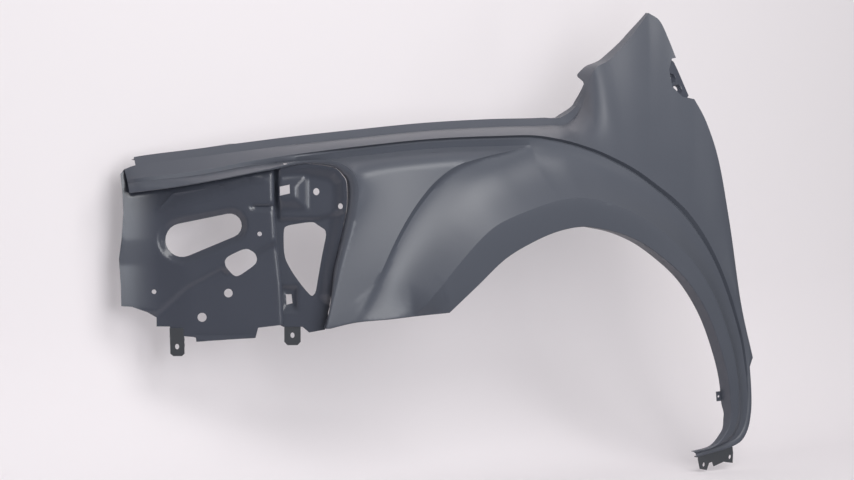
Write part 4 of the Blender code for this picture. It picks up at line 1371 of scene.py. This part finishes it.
# Hinge pocket behind the notch in the door edge: distance in from the edge, and rise above its middle
pocket = {
    "station": 25,
    "depth": 0.014,
    "slope": 0.010,
    "liftShare": 1.45,
    "outline": (
        (0.005, 0.060), (0.0225, 0.056), (0.040, 0.030), (0.055, -0.020), (0.041, -0.048),
        (0.005, -0.048), (0.004, -0.038), (-0.003, -0.033), (-0.005, -0.010), (-0.005, 0.020),
        (-0.003, 0.038), (0.004, 0.045),
    ),
    "rimRoll": 0.010,
    "rimWidth": 0.004,
    "notchOutline": (
        (0.010, 0.045), (0.028, 0.022), (0.040, -0.014), (0.027, -0.035), (-0.010, -0.042),
        (-0.035, 0.053),
    ),
    "notchInnerPoints": 4,
    "holes": ((0.0185, 0.004), (0.017, -0.020)),
    "holeRadii": (0.006, 0.007),
    "edgeStations": (21.2, 28.8),
    "bandStations": (21.5, 28.5),
}


# A place beside the door edge, from its distance in from the edge and its rise
def doorFlat(point):
    inset, rise = point
    z = upperEdge(pocket["station"]).z + rise
    edge = upperEdge(stationWhere(upperEdge, lambda place: place.z, z, pocket["edgeStations"]))
    return edge.x - inset, z


# The skin's own surface beside the door edge
def bandDepth(x, z):
    low, high = pocket["bandStations"]
    for turn in range(press["seekTurns"]):
        middle = (low + high) / 2
        top = upperEdge(middle)
        under = crease(middle)
        share = (top.z - z) / (top.z - under.z)
        if top.x + share * (under.x - top.x) < x:
            low = middle
        else:
            high = middle
    return bandPoint(middle, share).y


def pocketPlace(x, z):
    depth = bandDepth(x, z) + pocket["liftShare"] * (fender["skinSheet"] + fender["pieceGap"])
    if inside(notch, x, z):
        depth += pocket["depth"] * ease(away(notchInner, x, z) / pocket["slope"])
    for point, radius in zip(pocket["holes"], pocket["holeRadii"]):
        centreX, centreZ = doorFlat(point)
        rim = math.hypot(x - centreX, z - centreZ) - radius
        depth += pocket["rimRoll"] * ease(1 - rim / pocket["rimWidth"])
    return Vector((x, depth, z))


def buildPocket():
    outline = [doorFlat(point) for point in pocket["outline"]]
    holes = []
    for point, radius in zip(pocket["holes"], pocket["holeRadii"]):
        holes.append(circleHole(doorFlat(point), radius, radius))
    pressedSheet("hingePocketDish", "hinge_pocket",
                 outline, holes, [notchInner], pocketPlace, 0.5 * frontPanel["meshStep"],
                 fender["panelSheet"], panelPaint, frontPanel["smoothDegrees"])


notch = [doorFlat(point) for point in pocket["notchOutline"]]
notchInner = notch[:pocket["notchInnerPoints"]]
rearRim = [point for point in wallOutline(rearPanel["rimStations"], skin["columnsPerStation"])
           if point[0] < lampRun * frontPanel["bendLineShares"][0][1]]
oblong = oblongHole()
topLine = wallOutline(frontPanel["topStations"], frontPanel["topColumns"])
buildSkin()
buildFrontPanel()
buildRearPanel()
buildTab("bumperTabFrontPlate", "bumper_tab_front", tabs["frontOutlineShares"],
         tabs["frontSlotShares"], -frontPanel["depth"] - frontPanel["stepDrop"])
buildTab("bumperTabRearPlate", "bumper_tab_rear", tabs["rearOutlineShares"],
         tabs["rearSlotShares"], -rearPanelDepth)
buildFoot()
buildPocket()


# Pale studio: paper that runs along the floor and up behind the fender, clear when seen from behind
studio = {
    "paperColor": (0.86, 0.82, 0.85, 1),
    "glowColor": (0.86, 0.82, 0.85, 1),
    "glowShare": 0.34,
    "skyColor": (0.84, 0.80, 0.83, 1),
    "skyLight": (1, 1, 1, 1),
    "paperWidth": 14.0,
    "paperFront": 5.0,
    "paperGap": 0.04,
    "paperTurn": 0.35,
    "turnSteps": 12,
    "paperRoughness": 0.9,
    "paperHeight": 4.0,
    "floorDrop": 0.004,
    "skyStrength": 0.18,
    "paperReach": 1.7,
    "paperFade": 1.2,
    "nearFront": -0.10,
    "nearFade": 0.30,
}


# The paper glows a little to the camera alone, and clears near the front, far out and from behind
def paperLook(low, high):
    paper = bpy.data.materials.new("paper")
    paper.use_nodes = True
    tree = paper.node_tree
    shader = tree.nodes["Principled BSDF"]
    shader.inputs["Base Color"].default_value = studio["paperColor"]
    shader.inputs["Roughness"].default_value = studio["paperRoughness"]
    glow = tree.nodes.new("ShaderNodeEmission")
    glow.inputs["Color"].default_value = studio["glowColor"]
    path = tree.nodes.new("ShaderNodeLightPath")
    seen = Wire(tree, path.outputs["Is Camera Ray"]) * studio["glowShare"]
    lit = tree.nodes.new("ShaderNodeMixShader")
    tree.links.new(seen.socket, lit.inputs[0])
    tree.links.new(shader.outputs[0], lit.inputs[1])
    tree.links.new(glow.outputs[0], lit.inputs[2])
    clear = tree.nodes.new("ShaderNodeBsdfTransparent")
    facing = tree.nodes.new("ShaderNodeNewGeometry")
    place = Wire(tree, tree.nodes.new("ShaderNodeTexCoord").outputs["Object"])
    split = place.node("ShaderNodeSeparateXYZ", _0=place)
    front = (low.y - studio["nearFront"] - Wire(tree, split.outputs[1])) * (1 / studio["nearFade"])
    near = place.node("ShaderNodeClamp", _0=front)
    hidden = Wire(tree, near.outputs[0]) * (1 - Wire(tree, path.outputs["Is Camera Ray"]))
    middle = place.node("ShaderNodeVectorMath", {"operation": "DISTANCE"},
                        _0=place, _1=(low + high) / 2)
    distant = (Wire(tree, middle.outputs[1]) - studio["paperReach"]) * (1 / studio["paperFade"])
    edge = place.node("ShaderNodeClamp", _0=distant)
    behind = Wire(tree, facing.outputs["Backfacing"])
    unseen = place.node("ShaderNodeClamp", _0=hidden + Wire(tree, edge.outputs[0]) + behind)
    sides = tree.nodes.new("ShaderNodeMixShader")
    tree.links.new(unseen.outputs[0], sides.inputs[0])
    tree.links.new(lit.outputs[0], sides.inputs[1])
    tree.links.new(clear.outputs[0], sides.inputs[2])
    tree.links.new(sides.outputs[0], tree.nodes["Material Output"].inputs["Surface"])
    return paper


def buildPaper():
    low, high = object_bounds()
    back = high.y + studio["paperGap"]
    floor = low.z - studio["floorDrop"]
    radius = studio["paperTurn"]
    profile = [(-studio["paperFront"], floor)]
    for step in range(studio["turnSteps"] + 1):
        angle = math.pi / 2 * step / studio["turnSteps"]
        profile.append((back - radius + radius * math.sin(angle),
                        floor + radius - radius * math.cos(angle)))
    profile.append((back, floor + studio["paperHeight"]))
    half = studio["paperWidth"] / 2
    points = [(side, y, z) for y, z in profile for side in (-half, half)]
    faces = [(2 * row, 2 * row + 1, 2 * row + 3, 2 * row + 2) for row in range(len(profile) - 1)]
    sheet = bpy.data.meshes.new("paper")
    sheet.from_pydata(points, [], faces)
    sheet.shade_smooth()
    sheet.materials.append(paperLook(low, high))
    roll = bpy.data.objects.new("paper", sheet)
    bpy.context.scene.collection.objects.link(roll)


# Plain light from all round, with a backdrop of the paper's colour for the camera
def buildSky():
    world = bpy.data.worlds.new("studio")
    world.use_nodes = True
    tree = world.node_tree
    plain = tree.nodes["Background"]
    plain.inputs["Color"].default_value = studio["skyLight"]
    plain.inputs["Strength"].default_value = studio["skyStrength"]
    seen = tree.nodes.new("ShaderNodeBackground")
    seen.inputs["Color"].default_value = studio["skyColor"]
    path = tree.nodes.new("ShaderNodeLightPath")
    mix = tree.nodes.new("ShaderNodeMixShader")
    tree.links.new(path.outputs["Is Camera Ray"], mix.inputs[0])
    tree.links.new(plain.outputs[0], mix.inputs[1])
    tree.links.new(seen.outputs[0], mix.inputs[2])
    tree.links.new(mix.outputs[0], tree.nodes["World Output"].inputs["Surface"])
    bpy.context.scene.world = world


# Soft lamps: name, place from the camera's target, width, height, power and colour
lamps = (
    ("keyLamp", (0.1, -2.1, 2.1), 2.2, 1.2, 48, (1.0, 0.99, 0.98)),
    ("fillLamp", (-0.7, -2.8, 0.7), 2.0, 1.6, 44, (1.0, 0.99, 0.98)),
    ("stripLamp", (-1.2, -2.8, 0.25), 0.4, 1.2, 8, (0.86, 0.92, 1.0)),
    ("bendLamp", (1.9, -2.6, 0.3), 0.15, 1.2, 4, (1.0, 1.0, 1.0)),
    ("backLamp", (0.8, 3.0, 0.6), 1.6, 1.6, 55, (1.0, 1.0, 1.0)),
)


def buildLamps(middle):
    for name, offset, width, height, power, color in lamps:
        data = bpy.data.lights.new(name, "AREA")
        data.shape = "RECTANGLE"
        data.size = width
        data.size_y = height
        data.energy = power
        data.color = color
        light = bpy.data.objects.new(name, data)
        bpy.context.scene.collection.objects.link(light)
        light.location = middle + Vector(offset)
        light.rotation_euler = Vector(offset).to_track_quat("Z", "Y").to_euler()


# The photograph's viewing angle, with the target in the fender's own lengths
camera = {
    "azimuth": -38.0,
    "elevation": 4.0,
    "distance": 6.0,
    "metresPerPixel": 0.002,
    "frameWidth": 854,
    "sensorWidth": 36.0,
    "target": (0.552, 0.150, 0.481),
}


def buildCamera():
    turn = math.radians(camera["azimuth"])
    rise = math.radians(camera["elevation"])
    back = Vector((math.sin(turn) * math.cos(rise), -math.cos(turn) * math.cos(rise), math.sin(rise)))
    target = Vector(camera["target"]) - home
    data = bpy.data.cameras.new("camera")
    eye = bpy.data.objects.new("camera", data)
    bpy.context.scene.collection.objects.link(eye)
    eye.location = target + back * camera["distance"]
    eye.rotation_euler = back.to_track_quat("Z", "Y").to_euler()
    data.sensor_width = camera["sensorWidth"]
    data.lens = (camera["sensorWidth"] * camera["distance"]
                 / (camera["frameWidth"] * camera["metresPerPixel"]))
    bpy.context.scene.camera = eye
    return target


bpy.context.scene.view_settings.view_transform = "Standard"
buildPaper()
buildSky()
buildLamps(buildCamera())
print("studio ready")
